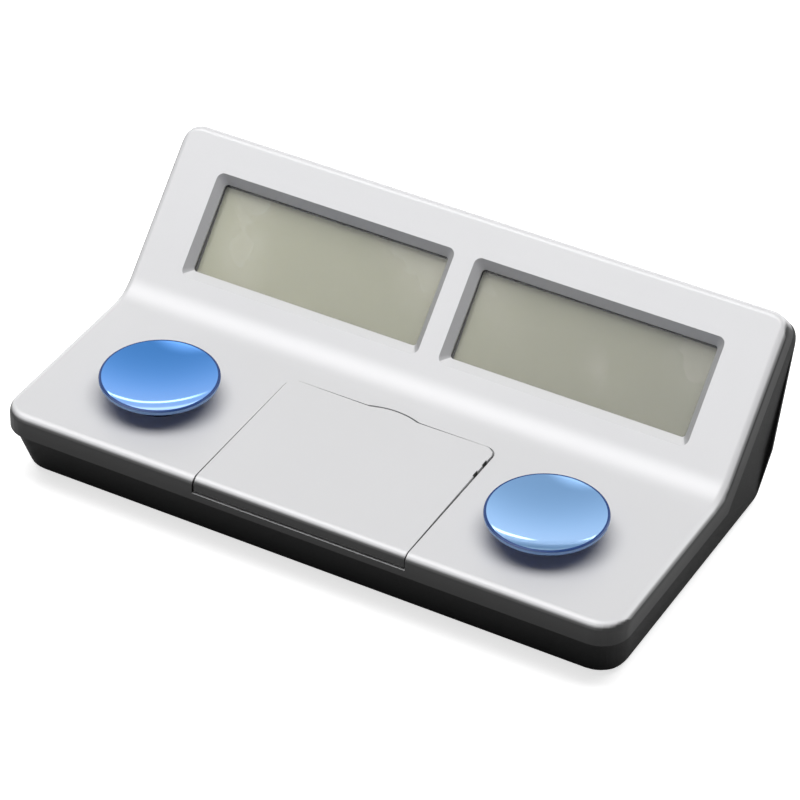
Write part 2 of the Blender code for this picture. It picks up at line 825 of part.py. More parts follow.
def make_main_board(board_finish, chip_finish):
    half = main_board_width / 2
    low_y = front_y + main_board_from_front
    outline = rectangle(-half, half, low_y, low_y + main_board_depth)
    board = add_object("main_board", prism(outline, board_top - board_thickness, board_top), board_finish)
    x, from_front = screw_places[0]
    for side in (-1, 1):
        cut(board, cylinder(cover_post_radius + cut_overrun / 4, board_top - board_thickness - cut_overrun,
                            board_top + cut_overrun, small_round_sides), "post_room_%d" % side,
            (side * x, front_y + from_front, 0))
    chip_y = low_y + main_board_depth - chip_size
    half_chip = chip_size / 2
    add_object("control_chip", prism(rectangle(-half_chip, half_chip, -half_chip, half_chip),
                                     board_top - board_thickness - piece_gap - chip_height,
                                     board_top - board_thickness - piece_gap), chip_finish, (0, chip_y, 0))


def display_x_range(margin):
    low = window_inner_x + window_slope_side - margin
    return low, window_inner_x + window_width - window_slope_side + margin


def display_s_range(margin):
    low = window_low + window_slope_rise - margin
    return low, window_low + window_height - window_slope_rise + margin


def panel_plate(name, side, margin, top, thickness, finish):
    """A flat plate under one window, its top at a depth below the panel's face."""
    low_x, high_x = display_x_range(margin)
    low_s, high_s = display_s_range(margin)
    xs = sorted((side * low_x, side * high_x))
    return add_object(name, prism(rectangle(xs[0], xs[1], low_s, high_s), -top - thickness, -top), finish,
                      (0, 0, 0), panel_frame)


def make_displays(lens_finish, glass_finish, frame_finish, strip_finish, board_finish):
    """Each display's lens, liquid-crystal glass, carrier frame and contact strip, and their common board."""
    lens_top = panel_wall + piece_gap
    glass_top = lens_top + lens_thickness + piece_gap
    glass_low = glass_top + glass_thickness
    frame_low = display_board_depth - piece_gap
    for side, name in ((-1, "left"), (1, "right")):
        panel_plate(name + "_window_lens", side, glass_margin, lens_top, lens_thickness, lens_finish)
        panel_plate(name + "_display_glass", side, glass_margin, glass_top, glass_thickness, glass_finish)
        frame = panel_plate(name + "_display_frame", side, glass_margin + piece_gap + frame_wall, lens_top,
                            frame_low - lens_top, frame_finish)
        low_x, high_x = display_x_range(glass_margin + piece_gap)
        low_s, high_s = display_s_range(glass_margin + piece_gap)
        xs = sorted((side * low_x, side * high_x))
        cut(frame, prism(rectangle(xs[0], xs[1], low_s, high_s), -frame_low - cut_overrun,
                         -lens_top + cut_overrun), "opening", (0, 0, 0), panel_frame)
        low_x, high_x = display_x_range(-glass_margin)
        xs = sorted((side * low_x, side * high_x))
        low_s = display_s_range(glass_margin)[0] + piece_gap
        add_object(name + "_contact_strip",
                   prism(rectangle(xs[0], xs[1], low_s, low_s + strip_width), -frame_low,
                         -glass_low - piece_gap), strip_finish, (0, 0, 0), panel_frame)
    half = display_board_width / 2
    board = add_object("display_board",
                       prism(rectangle(-half, half, display_board_low, display_board_high),
                             -display_board_depth - board_thickness, -display_board_depth), board_finish,
                       (0, 0, 0), panel_frame)
    for number, (x, s) in enumerate(display_post_places()):
        cut(board, cylinder(small_screw_hole_radius, -display_board_depth - board_thickness - cut_overrun,
                            -display_board_depth + cut_overrun, small_round_sides),
            "screw_hole_%d" % number, (x, s, 0), panel_frame)


def screw_solid(radius, head_radius, head_height, length, sides=small_round_sides):
    """A pan-head screw along +Z, the top of its head below zero and its shank above."""
    dome = head_height / 3
    return turned([(0, -head_height), (head_radius * 2 / 3, -head_height), (head_radius, -head_height + dome),
                   (head_radius, 0), (radius, 0), (radius, length - radius), (radius / 3, length),
                   (0, length)], sides)


def make_screws(finish):
    number = 1
    seat = screw_seat()
    for x, from_front in screw_places:
        for side in (-1, 1):
            add_object("housing_screw_%d" % number,
                       screw_solid(screw_radius, screw_head_radius, screw_head_height, screw_length), finish,
                       (side * x, front_y + from_front, seat - piece_gap))
            number += 1
    for index, (x, s) in enumerate(display_post_places()):
        add_object("display_screw_%d" % (index + 1),
                   screw_solid(small_screw_radius, small_screw_head_radius, small_screw_head_height,
                               small_screw_length), finish,
                   (x, s, -display_board_depth - board_thickness - piece_gap), panel_frame)


def screw_seat():
    """Height of the face in the housing that the screw heads pull against."""
    return foot_height + screw_head_height + 2 * piece_gap


def make_housing(finish):
    """Black lower housing: a tapered tub with a leaning back, battery bay, posts and foot recesses."""
    housing = add_object("lower_housing", ring_solid(housing_sections(0, -piece_gap, floor_edge_radius)), finish)
    inside = housing_sections(side_wall, cut_overrun, 0)
    cut(housing, ring_solid(inside), "inside")
    join_housing_posts(housing)
    join_bay(housing)
    cut_floor(housing)
    return housing


def join_housing_posts(housing):
    floor_middle = foot_height + side_wall / 2
    for row, (x, from_front) in enumerate(screw_places):
        for side in (-1, 1):
            place = (side * x, front_y + from_front, 0)
            join(housing, cylinder(cover_post_radius, floor_middle,
                                   post_joint_height - piece_gap, small_round_sides),
                 "post_%d_%d" % (row, side), place)
            cut(housing, cylinder(screw_hole_radius, foot_height - cut_overrun, deck_height, small_round_sides),
                "hole_%d_%d" % (row, side), place)
            cut(housing, cylinder(screw_recess_radius, foot_height - cut_overrun, screw_seat(),
                                  small_round_sides), "recess_%d_%d" % (row, side), place)
    reach = main_board_width / 2 - cover_post_radius
    low_y = front_y + main_board_from_front + 2 * cover_post_radius
    high_y = front_y + main_board_from_front + main_board_depth - cover_post_radius
    for number, (x, y) in enumerate(((-reach, low_y), (reach, low_y), (-reach, high_y), (reach, high_y),
                                     (0, low_y))):
        join(housing, cylinder(small_post_radius, floor_middle, board_top - board_thickness - piece_gap,
                               small_round_sides), "board_rest_%d" % number, (x, y, 0))
    ring = cylinder(buzzer_radius + piece_gap + bay_wall, floor_middle, inner_floor + buzzer_height / 2)
    join(housing, ring, "buzzer_ring", (buzzer_x, front_y + buzzer_from_front, 0))
    cut(housing, cylinder(buzzer_radius + piece_gap, inner_floor, inner_floor + buzzer_height),
        "buzzer_seat", (buzzer_x, front_y + buzzer_from_front, 0))


def bay_half_length():
    return cell_length / 2 + bay_end_room


def bay_size():
    """Low and high corner of the inside of the battery bay."""
    low = front_y + bay_front
    high = low + 4 * cell_radius + 3 * cell_gap
    bottom = foot_height + door_thickness + cell_gap
    roof = bottom + 2 * cell_radius + cell_gap
    return low, high, bottom, roof


def join_bay(housing):
    low, high, bottom, roof = bay_size()
    half = bay_half_length()
    floor_middle = foot_height + side_wall / 2
    join(housing, prism(rectangle(-half - bay_wall, half + bay_wall, low - bay_wall, high + bay_wall),
                        floor_middle, roof + bay_roof), "bay")
    cut(housing, prism(rectangle(-half, half, low, high), inner_floor, roof), "bay_inside")
    door_half = door_width / 2 + door_gap
    door_low = door_front() - door_gap
    door_high = door_front() + door_depth + door_gap
    cut(housing, prism(rectangle(-door_half, door_half, door_low, door_high), foot_height - cut_overrun,
                       inner_floor + piece_gap), "door_opening")
    rooms = []
    for side in (-1, 1):
        reach = door_hook_width / 2 + piece_gap
        middle = side * door_hook_spacing / 2
        rooms.append(prism(rectangle(middle - reach, middle + reach, low, door_low + piece_gap),
                           foot_height + door_thickness, inner_floor + piece_gap))
    cut(housing, merged(rooms), "hook_rooms")


def door_front():
    return front_y + bay_front + door_from_bay_front


def cut_floor(housing):
    for row, (x, from_front) in enumerate(foot_places):
        for side in (-1, 1):
            cut(housing, cylinder(foot_radius + piece_gap, foot_height - cut_overrun,
                                  foot_height + foot_recess, round_sides), "foot_recess_%d_%d" % (row, side),
                (side * x, front_y + from_front, 0))
    slots = []
    for number in range(buzzer_slots):
        x = buzzer_x + (number - (buzzer_slots - 1) / 2) * 2 * buzzer_slot_width
        y = front_y + buzzer_from_front
        slots.append(prism(rectangle(x - buzzer_slot_width / 2, x + buzzer_slot_width / 2,
                                     y - buzzer_slot_length / 2, y + buzzer_slot_length / 2),
                           foot_height - cut_overrun, inner_floor + piece_gap))
    cut(housing, merged(slots), "sound_slots")


def make_door(finish):
    """Battery door that tilts out about its front edge on two hooks, with a sprung tongue at its back."""
    half = door_width / 2
    origin = (0, door_front(), foot_height)
    door = add_object("battery_door", prism(rectangle(-half, half, 0, door_depth), 0, door_thickness), finish,
                      origin)
    hooks = []
    hook_low = door_thickness + piece_gap
    outline = [(0, door_thickness / 2), (door_hook_thickness, door_thickness / 2),
               (door_hook_thickness, hook_low + door_hook_thickness),
               (-door_hook_reach, hook_low + door_hook_thickness), (-door_hook_reach, hook_low), (0, hook_low)]
    for side in (-1, 1):
        middle = side * door_hook_spacing / 2
        hooks.append(side_prism(outline, middle - door_hook_width / 2, middle + door_hook_width / 2))
    join(door, merged(hooks), "hooks", origin)
    ribs = []
    for number in range(door_grip_ribs):
        y = door_depth - (2 * number + 2) * 2 * door_rib_width
        ribs.append(prism(rectangle(-door_tongue_width / 3, door_tongue_width / 3, y, y + door_rib_width),
                          -door_rib_height, door_thickness / 2))
    join(door, merged(ribs), "grip_ribs", origin)
    slots = []
    for side in (-1, 1):
        middle = side * (door_tongue_width + door_tongue_slot) / 2
        slots.append(prism(rectangle(middle - door_tongue_slot / 2, middle + door_tongue_slot / 2,
                                     door_depth - door_tongue_length, door_depth + cut_overrun),
                           -cut_overrun, door_thickness + cut_overrun))
    cut(door, merged(slots), "tongue_slots", origin)
    return door


def make_cells(finish):
    low, high, bottom, roof = bay_size()
    z = bottom + cell_radius
    half = cell_length / 2
    for number, direction in ((1, 1), (2, -1)):
        y = low + cell_gap + cell_radius + (number - 1) * (2 * cell_radius + cell_gap)
        profile = [(0, -half), (cell_radius * 2 / 3, -half), (cell_radius, -half + cell_gap),
                   (cell_radius, half - cell_nub_length - cell_gap),
                   (cell_radius - cell_gap, half - cell_nub_length),
                   (cell_nub_radius, half - cell_nub_length), (cell_nub_radius, half), (0, half)]
        cell = add_object("battery_cell_%d" % number, turned(profile), finish, (0, y, z))
        cell.rotation_euler = (0, direction * math.pi / 2, 0)


def make_contacts(finish):
    """Plates at both ends of the bay and the coils that press on the flat end of each cell."""
    low, high, bottom, roof = bay_size()
    half = bay_half_length()
    middle_z = bottom + cell_radius
    first_y = low + cell_gap + cell_radius
    second_y = first_y + 2 * cell_radius + cell_gap
    plate_half = cell_radius * 2 / 3
    inner = half - piece_gap
    add_object("battery_bridge_plate",
               side_prism(rectangle(first_y - plate_half, second_y + plate_half, middle_z - plate_half,
                                    middle_z + plate_half), -inner, -inner + contact_thickness), finish)
    for name, y in (("battery_positive_plate", first_y), ("battery_negative_plate", second_y)):
        add_object(name, side_prism(rectangle(y - plate_half, y + plate_half, middle_z - plate_half,
                                              middle_z + plate_half), inner - contact_thickness, inner), finish)
    reach = cell_length / 2
    turn = Matrix.Rotation(math.pi / 2, 4, 'Y')
    plate_face = inner - contact_thickness - piece_gap - contact_wire / 2
    cell_face = reach + piece_gap + contact_wire / 2
    for name, y, side in (("battery_coil_1", first_y, -1), ("battery_coil_2", second_y, 1)):
        add_coil(name, contact_coil_radius, contact_wire, contact_turns, side * cell_face, side * plate_face,
                 finish, (0, y, middle_z), turn)


def make_buzzer(finish):
    edge = buzzer_height / 6
    profile = [(0, 0), (buzzer_radius - edge, 0), (buzzer_radius, edge), (buzzer_radius, buzzer_height - edge),
               (buzzer_radius - edge, buzzer_height), (edge * 2, buzzer_height),
               (edge * 2, buzzer_height - edge), (0, buzzer_height - edge)]
    add_object("buzzer", turned(profile), finish,
               (buzzer_x, front_y + buzzer_from_front, inner_floor + piece_gap))


def make_feet(finish):
    number = 1
    for x, from_front in foot_places:
        for side in (-1, 1):
            top = foot_height + foot_recess - piece_gap
            edge = foot_height / 4
            profile = [(0, 0), (foot_radius - edge, 0), (foot_radius, edge), (foot_radius, top), (0, top)]
            add_object("rubber_foot_%d" % number, turned(profile), finish,
                       (side * x, front_y + from_front, 0))
            number += 1


def clear_scene():
    for piece in list(bpy.data.objects):
        bpy.data.objects.remove(piece, do_unlink=True)


clear_scene()
panel_frame = bpy.data.objects.new("panel_frame", None)
bpy.context.scene.collection.objects.link(panel_frame)
panel_frame.location = (0, front_y + deck_depth, deck_height)
panel_frame.rotation_euler = (slope, 0, 0)

silver = material("silver_paint", (0.72, 0.72, 0.73), 0.38, 0.25)
black_plastic = material("black_plastic", (0.018, 0.018, 0.019), 0.5)
tray_plastic = material("tray_plastic", (0.05, 0.05, 0.055), 0.55)
key_rubber = material("key_rubber", (0.12, 0.12, 0.13), 0.7)
sheet_rubber = material("sheet_rubber", (0.35, 0.35, 0.36), 0.7)
blue_plastic = material("blue_plastic", (0.05, 0.2, 0.62), 0.08)
stem_plastic = material("stem_plastic", (0.01, 0.03, 0.09), 0.3)
steel = material("steel", (0.6, 0.6, 0.6), 0.3, 1.0)
board_green = material("board_green", (0.02, 0.16, 0.06), 0.5)
chip_black = material("chip_black", (0.02, 0.02, 0.02), 0.4)
clear_lens = material("clear_lens", (0.85, 0.87, 0.85), 0.05)
display_grey = material("display_grey", (0.36, 0.37, 0.3), 0.25)
frame_plastic = material("frame_plastic", (0.03, 0.03, 0.03), 0.6)
strip_rubber = material("strip_rubber", (0.5, 0.25, 0.3), 0.7)
cell_wrap = material("cell_wrap", (0.1, 0.3, 0.14), 0.35)
brass = material("brass", (0.75, 0.6, 0.3), 0.3, 1.0)
foot_rubber = material("foot_rubber", (0.02, 0.02, 0.02), 0.9)

make_cover(silver)
make_housing(black_plastic)
make_lid(silver)
make_hinge_pins(steel)
make_key_tray(tray_plastic)
make_keys(key_rubber)
make_keypad_sheet(sheet_rubber)
make_button(-1, "left", blue_plastic, stem_plastic, steel)
make_button(1, "right", blue_plastic, stem_plastic, steel)
make_switches(chip_black)
make_main_board(board_green, chip_black)
make_displays(clear_lens, display_grey, frame_plastic, strip_rubber, board_green)
make_screws(steel)
make_door(black_plastic)
make_cells(cell_wrap)
make_contacts(steel)
make_buzzer(brass)
make_feet(foot_rubber)
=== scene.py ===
import json
import math

import bmesh
import bpy
import numpy as np
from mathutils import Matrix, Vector


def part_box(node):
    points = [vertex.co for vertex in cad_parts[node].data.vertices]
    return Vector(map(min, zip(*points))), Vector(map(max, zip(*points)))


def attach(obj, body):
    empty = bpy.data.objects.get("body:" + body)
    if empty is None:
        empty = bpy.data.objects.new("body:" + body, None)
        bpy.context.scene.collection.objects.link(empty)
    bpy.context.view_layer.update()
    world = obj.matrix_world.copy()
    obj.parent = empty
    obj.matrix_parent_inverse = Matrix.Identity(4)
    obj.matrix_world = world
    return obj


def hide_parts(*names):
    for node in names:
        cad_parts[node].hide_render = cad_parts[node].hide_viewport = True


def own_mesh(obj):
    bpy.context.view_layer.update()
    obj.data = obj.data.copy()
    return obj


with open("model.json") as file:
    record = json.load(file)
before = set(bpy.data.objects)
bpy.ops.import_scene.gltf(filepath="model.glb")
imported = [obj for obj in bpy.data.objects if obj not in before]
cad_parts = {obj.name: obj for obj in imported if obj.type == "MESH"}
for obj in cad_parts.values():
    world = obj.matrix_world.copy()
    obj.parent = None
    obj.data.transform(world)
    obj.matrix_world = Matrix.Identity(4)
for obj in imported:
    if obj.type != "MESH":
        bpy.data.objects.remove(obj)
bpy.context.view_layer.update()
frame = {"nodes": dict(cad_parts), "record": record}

print("clock: the frame is loaded")
mm = 0.001
bodyOf = {node: body for body, nodes in frame["record"]["behaviour"]["bodies"].items() for node in nodes}

# The bent face: its deck's height, the depth from the front edge to the crease, and the panel's lean in degrees
faceValues = {"deckHeight": 23.4 * mm, "deckDepth": 67.5 * mm, "panelLean": 45.56}
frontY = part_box("top_cover")[0].y
deckZ = faceValues["deckHeight"]
creaseY = frontY + faceValues["deckDepth"]
leanCos = math.cos(math.radians(faceValues["panelLean"]))
leanSin = math.sin(math.radians(faceValues["panelLean"]))
lidLow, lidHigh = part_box("setting_lid")


# A socket that can be used in Python expressions. Colours and vectors go through Mix and Vector Math instead.
class Wire:
    def __init__(self, graph, socket):
        self.graph = graph
        self.socket = socket

    def math(self, operation, *others):
        return self.graph.node("ShaderNodeMath", {"operation": operation}, [self, *others])

    def __add__(self, other):
        return self.math("ADD", other)

    __radd__ = __add__

    def __mul__(self, other):
        return self.math("MULTIPLY", other)

    __rmul__ = __mul__

    def __sub__(self, other):
        return self.math("SUBTRACT", other)

    def __rsub__(self, other):
        return self.graph.node("ShaderNodeMath", {"operation": "SUBTRACT"}, [other, self])

    def __truediv__(self, other):
        return self.math("DIVIDE", other)

    def clamp(self, low=0.0, high=1.0):
        return self.graph.node("ShaderNodeClamp", {}, [self, low, high])

    def step(self, low, high):
        # Smooth change from 0 at low to 1 at high
        return self.graph.node("ShaderNodeMapRange", {"interpolation_type": "SMOOTHSTEP"},
                               {"Value": self, "From Min": low, "From Max": high})

    def axis(self, name):
        return self.graph.node("ShaderNodeSeparateXYZ", {}, [self], name)


# The node tree of one material, or of the world
class Graph:
    def __init__(self, name, owner=None):
        self.material = owner or bpy.data.materials.new(name)
        self.material.use_nodes = True
        self.tree = self.material.node_tree
        self.shader = self.tree.nodes.get("Principled BSDF")

    def node(self, kind, settings, values, output=0):
        made = self.tree.nodes.new(kind)
        for key, value in settings.items():
            setattr(made, key, value)
        pairs = values.items() if isinstance(values, dict) else enumerate(values)
        for key, value in pairs:
            self.put(made.inputs[key], value)
        return Wire(self, made.outputs[output])

    def put(self, socket, value):
        if isinstance(value, Wire):
            self.tree.links.new(value.socket, socket)
        elif isinstance(value, (tuple, list)) and len(value) == 3 and len(socket.default_value) == 4:
            socket.default_value = (*value, 1)
        else:
            socket.default_value = value

    def place(self):
        return self.node("ShaderNodeTexCoord", {}, {}, "Object")

    def attribute(self, name):
        return self.node("ShaderNodeAttribute", {"attribute_name": name}, {}, "Fac")

    def noise(self, scale, detail=2.0, roughness=0.5, vector=None):
        return self.node("ShaderNodeTexNoise", {}, {"Vector": vector or self.place(), "Scale": scale,
                                                    "Detail": detail, "Roughness": roughness})

    def mixColour(self, share, first, second):
        # Inputs 6 and 7 and output 2 are the Mix node's colours
        settings = {"data_type": "RGBA", "clamp_factor": False}
        return self.node("ShaderNodeMix", settings, {0: share, 6: first, 7: second}, 2)

    def bump(self, height, strength, distance):
        return self.node("ShaderNodeBump", {}, {"Strength": strength, "Distance": distance, "Height": height})

    def finish(self, **values):
        for name, value in values.items():
            self.put(self.shader.inputs[name.replace("_", " ")], value)
        return self.material


grainValues = {"detail": 3.0, "roughness": 0.6, "depth": 0.02 * mm}


def fineGrain(graph, scale, strength, values=grainValues):
    return graph.bump(graph.noise(scale, values["detail"], values["roughness"]), strength, values["depth"])


# "rimDepths" is where the rim's charcoal, which is painted shade, goes from its top colour to its darker foot
# colour.
# Each of "grains" is a noise's scale, detail and share.
silverValues = {
    # The panel's gain paints the panel lighter as painted light, and the rounding of the deck's front edge as a
    # painted highlight
    "colour": (0.635, 0.635, 0.645), "paintedPanelGain": 1.07, "flakeScale": 5200.0, "flakeAmount": 0.05,
    "hazeScale": 24.0, "hazeAmount": 0.025,
    "rimTop": (0.024, 0.024, 0.0245), "rimFoot": (0.012, 0.012, 0.0122), "rimDepths": (2.0 * mm, 7.3 * mm),
    # The windows' walls are painted a grey shade, and their lower ledges a paler, lit tone
    "window": (0.40, 0.40, 0.41), "ledgeLight": (0.66, 0.66, 0.67),
    # The seams' walls, and the near black that is painted shade in the notches and a little on the right edge's
    # walls
    "seam": (0.62, 0.62, 0.625), "seamShade": (0.04, 0.04, 0.04),
    "roughness": 0.40, "rimRoughness": 0.50, "metallic": 0.13, "specular": 0.35,
    "grains": ((2600.0, 2.0, 0.6), (900.0, 1.0, 0.4)), "grainStrength": 0.10,
}


# How far a point lies below the deck or the panel: height above the deck's plane or above the panel's plane,
# whichever is less, turned round
def depthBelow(graph):
    place = graph.place()
    above = place.axis("Z") - deckZ
    ahead = place.axis("Y") - creaseY
    return -1 * above.math("MINIMUM", above * leanCos - ahead * leanSin)


# Silver paint where silverOrSideShade is 1. Where it is 0 there is a charcoal that is painted shade on the faces
# turned away from the deck and the panel. windowShadeAndLight above 0 gives the windows' walls a painted shade, and
# below 0 it gives their lower ledges and the crease a painted light. seamAndNotchShade up to 1 gives the seams'
# walls, and from 1 to 2 the painted shade in the notches. paintedPanelLight lifts the panel as painted light and the
# front edge as a painted highlight.
def silverPaint(name, values):
    graph = Graph(name)
    silver = graph.attribute("silverOrSideShade")
    window = graph.attribute("windowShadeAndLight")
    seam = graph.attribute("seamAndNotchShade")
    flakes = graph.noise(values["flakeScale"], 1.0)
    haze = graph.noise(values["hazeScale"], 2.0)
    # Painted light: the panel is made lighter, and the rounding of the deck's front edge is made lighter as a
    # painted highlight
    level = ((flakes - 0.5) * values["flakeAmount"] + (haze - 0.5) * values["hazeAmount"] + 1) * (
        graph.attribute("paintedPanelLight") * (values["paintedPanelGain"] - 1) + 1)
    bright = graph.mixColour(level, (0, 0, 0), values["colour"])
    # The sides' charcoal is painted shade, lighter at the top and darker towards the foot
    dark = graph.mixColour(depthBelow(graph).step(*values["rimDepths"]), values["rimTop"], values["rimFoot"])
    colour = graph.mixColour(silver, dark, bright)
    # Painted shade on the windows' walls, painted light on their lower ledges, and a painted highlight in the crease
    colour = graph.mixColour(window.clamp(), colour, values["window"])
    colour = graph.mixColour((-1 * window).clamp(), colour, values["ledgeLight"])
    # The seams' walls, then painted shade on the right edge's walls and in the notches
    colour = graph.mixColour(seam.clamp(), colour, values["seam"])
    colour = graph.mixColour((seam - 1).clamp(), colour, values["seamShade"])
    fine, coarse = (graph.noise(scale, detail) * share for scale, detail, share in values["grains"])
    roughness = values["rimRoughness"] - silver * (values["rimRoughness"] - values["roughness"])
    return graph.finish(Base_Color=colour, Roughness=roughness, Metallic=silver * values["metallic"],
                        Normal=graph.bump(fine + coarse, values["grainStrength"], grainValues["depth"]),
                        Specular_IOR_Level=values["specular"])


mouldedValues = {"cloudScale": 60.0, "cloudDetail": 3.0, "grainScale": 1800.0, "grainDepth": 0.04 * mm,
                 "roughnessSpread": 0.12}


# Matt moulded plastic or rubber, of a colour that varies by the spread
def mouldedPlastic(name, colour, roughness, grain, spread=0.2, shine=0.25, values=mouldedValues):
    graph = Graph(name)
    cloud = graph.noise(values["cloudScale"], values["cloudDetail"])
    shade = graph.mixColour(cloud, [c * (1 - spread) for c in colour], [c * (1 + spread) for c in colour])
    fine = graph.noise(values["grainScale"], grainValues["detail"], grainValues["roughness"])
    return graph.finish(Base_Color=shade, Roughness=roughness + (fine - 0.5) * values["roughnessSpread"],
                        Normal=graph.bump(fine, grain, values["grainDepth"]), Specular_IOR_Level=shine)


glossValues = {"cloudScale": 35.0, "wearScale": 150.0, "wear": 0.02, "grainScale": 700.0, "grain": 0.02,
               "coatRoughness": 0.03}


# Glossy plastic, clear-coated where the coat is above 0
def glossyPlastic(graph, colour, roughness, coat, metallic, values=glossValues):
    wear = (graph.noise(values["wearScale"], 2.0) - 0.5) * values["wear"]
    return graph.finish(Base_Color=colour, Roughness=roughness + wear,
                        Normal=fineGrain(graph, values["grainScale"], values["grain"]), Coat_Weight=coat,
                        Coat_Roughness=values["coatRoughness"], Metallic=metallic)


stemValues = {"colour": (0.008, 0.018, 0.070), "lighter": (0.010, 0.024, 0.090), "roughness": 0.25, "coat": 0.5}


def stemPlastic(name, values):
    graph = Graph(name)
    colour = graph.mixColour(graph.noise(glossValues["cloudScale"], 1.0), values["colour"], values["lighter"])
    return glossyPlastic(graph, colour, values["roughness"], values["coat"], 0.0)


# "zoneBlur" is half the width of the change from one zone's colour to the next
# The paler rim is a painted highlight, and the dark navy underside is painted shade that also tints the shade
# beneath with blue
capValues = {"line": (0.003, 0.035, 0.16), "edge": (0.16, 0.30, 0.58), "under": (0.010, 0.060, 0.26),
             "lighter": 1.06, "zoneBlur": 0.15, "roughness": 0.25, "dishShine": 0.19, "dishMetallic": 0.5}


# Cap colours by zone: 0 the dish, 1 the dark line round it, 2 the paler rim, a painted highlight, and 3 the
# underside, painted dark navy as painted shade
def capPlastic(name, dishColour, values=capValues):
    graph = Graph(name)
    zone = graph.attribute("capZone")
    blur = values["zoneBlur"]
    colour = graph.mixColour(graph.noise(glossValues["cloudScale"], 1.0), dishColour,
                             [c * values["lighter"] for c in dishColour])
    # Painted highlight on the paler rim and painted shade on the underside
    for border, part in ((0.5, "line"), (1.5, "edge"), (2.5, "under")):
        colour = graph.mixColour(zone.step(border - blur, border + blur), colour, values[part])
    dish = 1 - zone.step(0.5 - blur, 0.5 + blur)
    return glossyPlastic(graph, colour, values["roughness"] - dish * values["dishShine"], dish,
                         dish * values["dishMetallic"])


metalValues = {"streakScale": 90.0, "stretch": (1.0, 14.0, 14.0), "darker": 0.88, "grain": 0.05}


# Metal with fine lines along X
def metal(name, colour, roughness, streak, values=metalValues):
    graph = Graph(name)
    stretched = graph.node("ShaderNodeVectorMath", {"operation": "MULTIPLY"}, [graph.place(), values["stretch"]])
    lines = graph.noise(values["streakScale"], 2.0, 0.5, stretched)
    return graph.finish(Base_Color=graph.mixColour(lines, [c * values["darker"] for c in colour], colour),
                        Roughness=roughness + (lines - 0.5) * streak, Metallic=1.0,
                        Normal=graph.bump(lines, values["grain"], grainValues["depth"]))


boardValues = {"green": (0.012, 0.11, 0.035), "tracks": (0.035, 0.20, 0.07), "solder": (0.55, 0.55, 0.56),
               "padScale": 170.0, "padRandomness": 0.35, "padEdge": (0.10, 0.13), "trackScale": 120.0,
               "trackEdge": (0.62, 0.70), "patchScale": 70.0, "patchEdge": (0.48, 0.52),
               "roughness": 0.38, "padShine": 0.12, "relief": 0.2, "reliefDepth": 0.04 * mm}


# Board with green resist, paler copper runs below it and bright solder spots
def boardFinish(name, values):
    graph = Graph(name)
    place = graph.place()
    cells = graph.node("ShaderNodeTexVoronoi", {"feature": "F1", "distance": "CHEBYCHEV"},
                       {"Vector": place, "Scale": values["padScale"], "Randomness": values["padRandomness"]})
    runs = graph.node("ShaderNodeTexWave", {"wave_type": "BANDS", "bands_direction": "DIAGONAL"},
                      {"Vector": place, "Scale": values["trackScale"], "Distortion": 0.0})
    tracks = runs.step(*values["trackEdge"]) * graph.noise(values["patchScale"], 0.0).step(*values["patchEdge"])
    pads = 1 - cells.step(*values["padEdge"])
    resist = graph.mixColour(tracks, values["green"], values["tracks"])
    colour = graph.mixColour(pads, resist, values["solder"])
    return graph.finish(Base_Color=colour, Roughness=values["roughness"] - pads * values["padShine"], Metallic=pads,
                        Normal=graph.bump(tracks * 0.5 + pads, values["relief"], values["reliefDepth"]))


# Shares of the cell's length from its negative end: "bandFrom" and "bareEnds" are where the colour changes
sleeveValues = {"body": (0.03, 0.10, 0.05), "band": (0.55, 0.28, 0.10), "steel": (0.62, 0.62, 0.63),
                "bandFrom": (0.76, 0.765), "bareEnds": ((0.004, 0.006), (0.972, 0.974)),
                "roughness": 0.28, "bareRoughness": 0.05, "grainScale": 500.0, "grain": 0.03}


# Cell sleeve: a plain green body with a coppery band at its positive end and bare steel ends
def cellSleeve(name, lowX, highX, direction, values):
    graph = Graph(name)
    share = (graph.place().axis("X") - lowX) / (highX - lowX)
    if direction < 0:
        share = 1 - share
    colour = graph.mixColour(share.step(*values["bandFrom"]), values["body"], values["band"])
    lowEnd, highEnd = values["bareEnds"]
    bare = (share.step(*highEnd) + (1 - share.step(*lowEnd))).clamp()
    colour = graph.mixColour(bare, colour, values["steel"])
    return graph.finish(Base_Color=colour, Roughness=values["roughness"] + bare * values["bareRoughness"],
                        Metallic=bare, Normal=fineGrain(graph, values["grainScale"], values["grain"]))


# Millimetres across and along the panel. Each haze is its centre, its reach both ways and its strength. "fade" is
# the level at the left and the right, over "fadeOver" from "fadeShift" left of the middle. "wedge" is the painted
# shadow line's least and greatest width, over "wedgeOver" from "wedgeFrom".
lcdValues = {
    # The dark colour is the painted shadow line along the left and top edges
    "colour": (0.355, 0.355, 0.238), "hazy": (0.49, 0.48, 0.38), "dark": (0.012, 0.012, 0.013),
    "fade": (1.08, 0.60), "fadeShift": 80, "fadeOver": 160,
    "cloudScale": 60.0, "cloudDetail": 3.0, "cloudRoughness": 0.55, "cloudLevel": 0.12, "cloudBloom": 1.6,
    "left": {"edge": -82.25, "hazes": [(-68.5, 24.0, 13.0, 22.0, 0.65), (-12.0, 37.0, 22.0, 17.0, 0.95),
                                       (-76.0, 40.0, 18.0, 12.0, 0.5)]},
    "right": {"edge": 5.05, "hazes": [(49.5, 23.4, 6.5, 9.0, 0.55), (10.0, 36.0, 20.0, 16.0, 0.6),
                                      (78.0, 37.0, 18.0, 14.0, 0.8)]},
    "hazeLean": 0.3, "top": 40.6, "wedge": (0.35, 1.0), "wedgeFrom": 13, "wedgeOver": 27.6,
    "sideBlur": 0.15, "topBlur": 0.12,
    "roughness": 0.22, "bloomRoughness": 0.1, "grainScale": 900.0, "grain": 0.03,
}
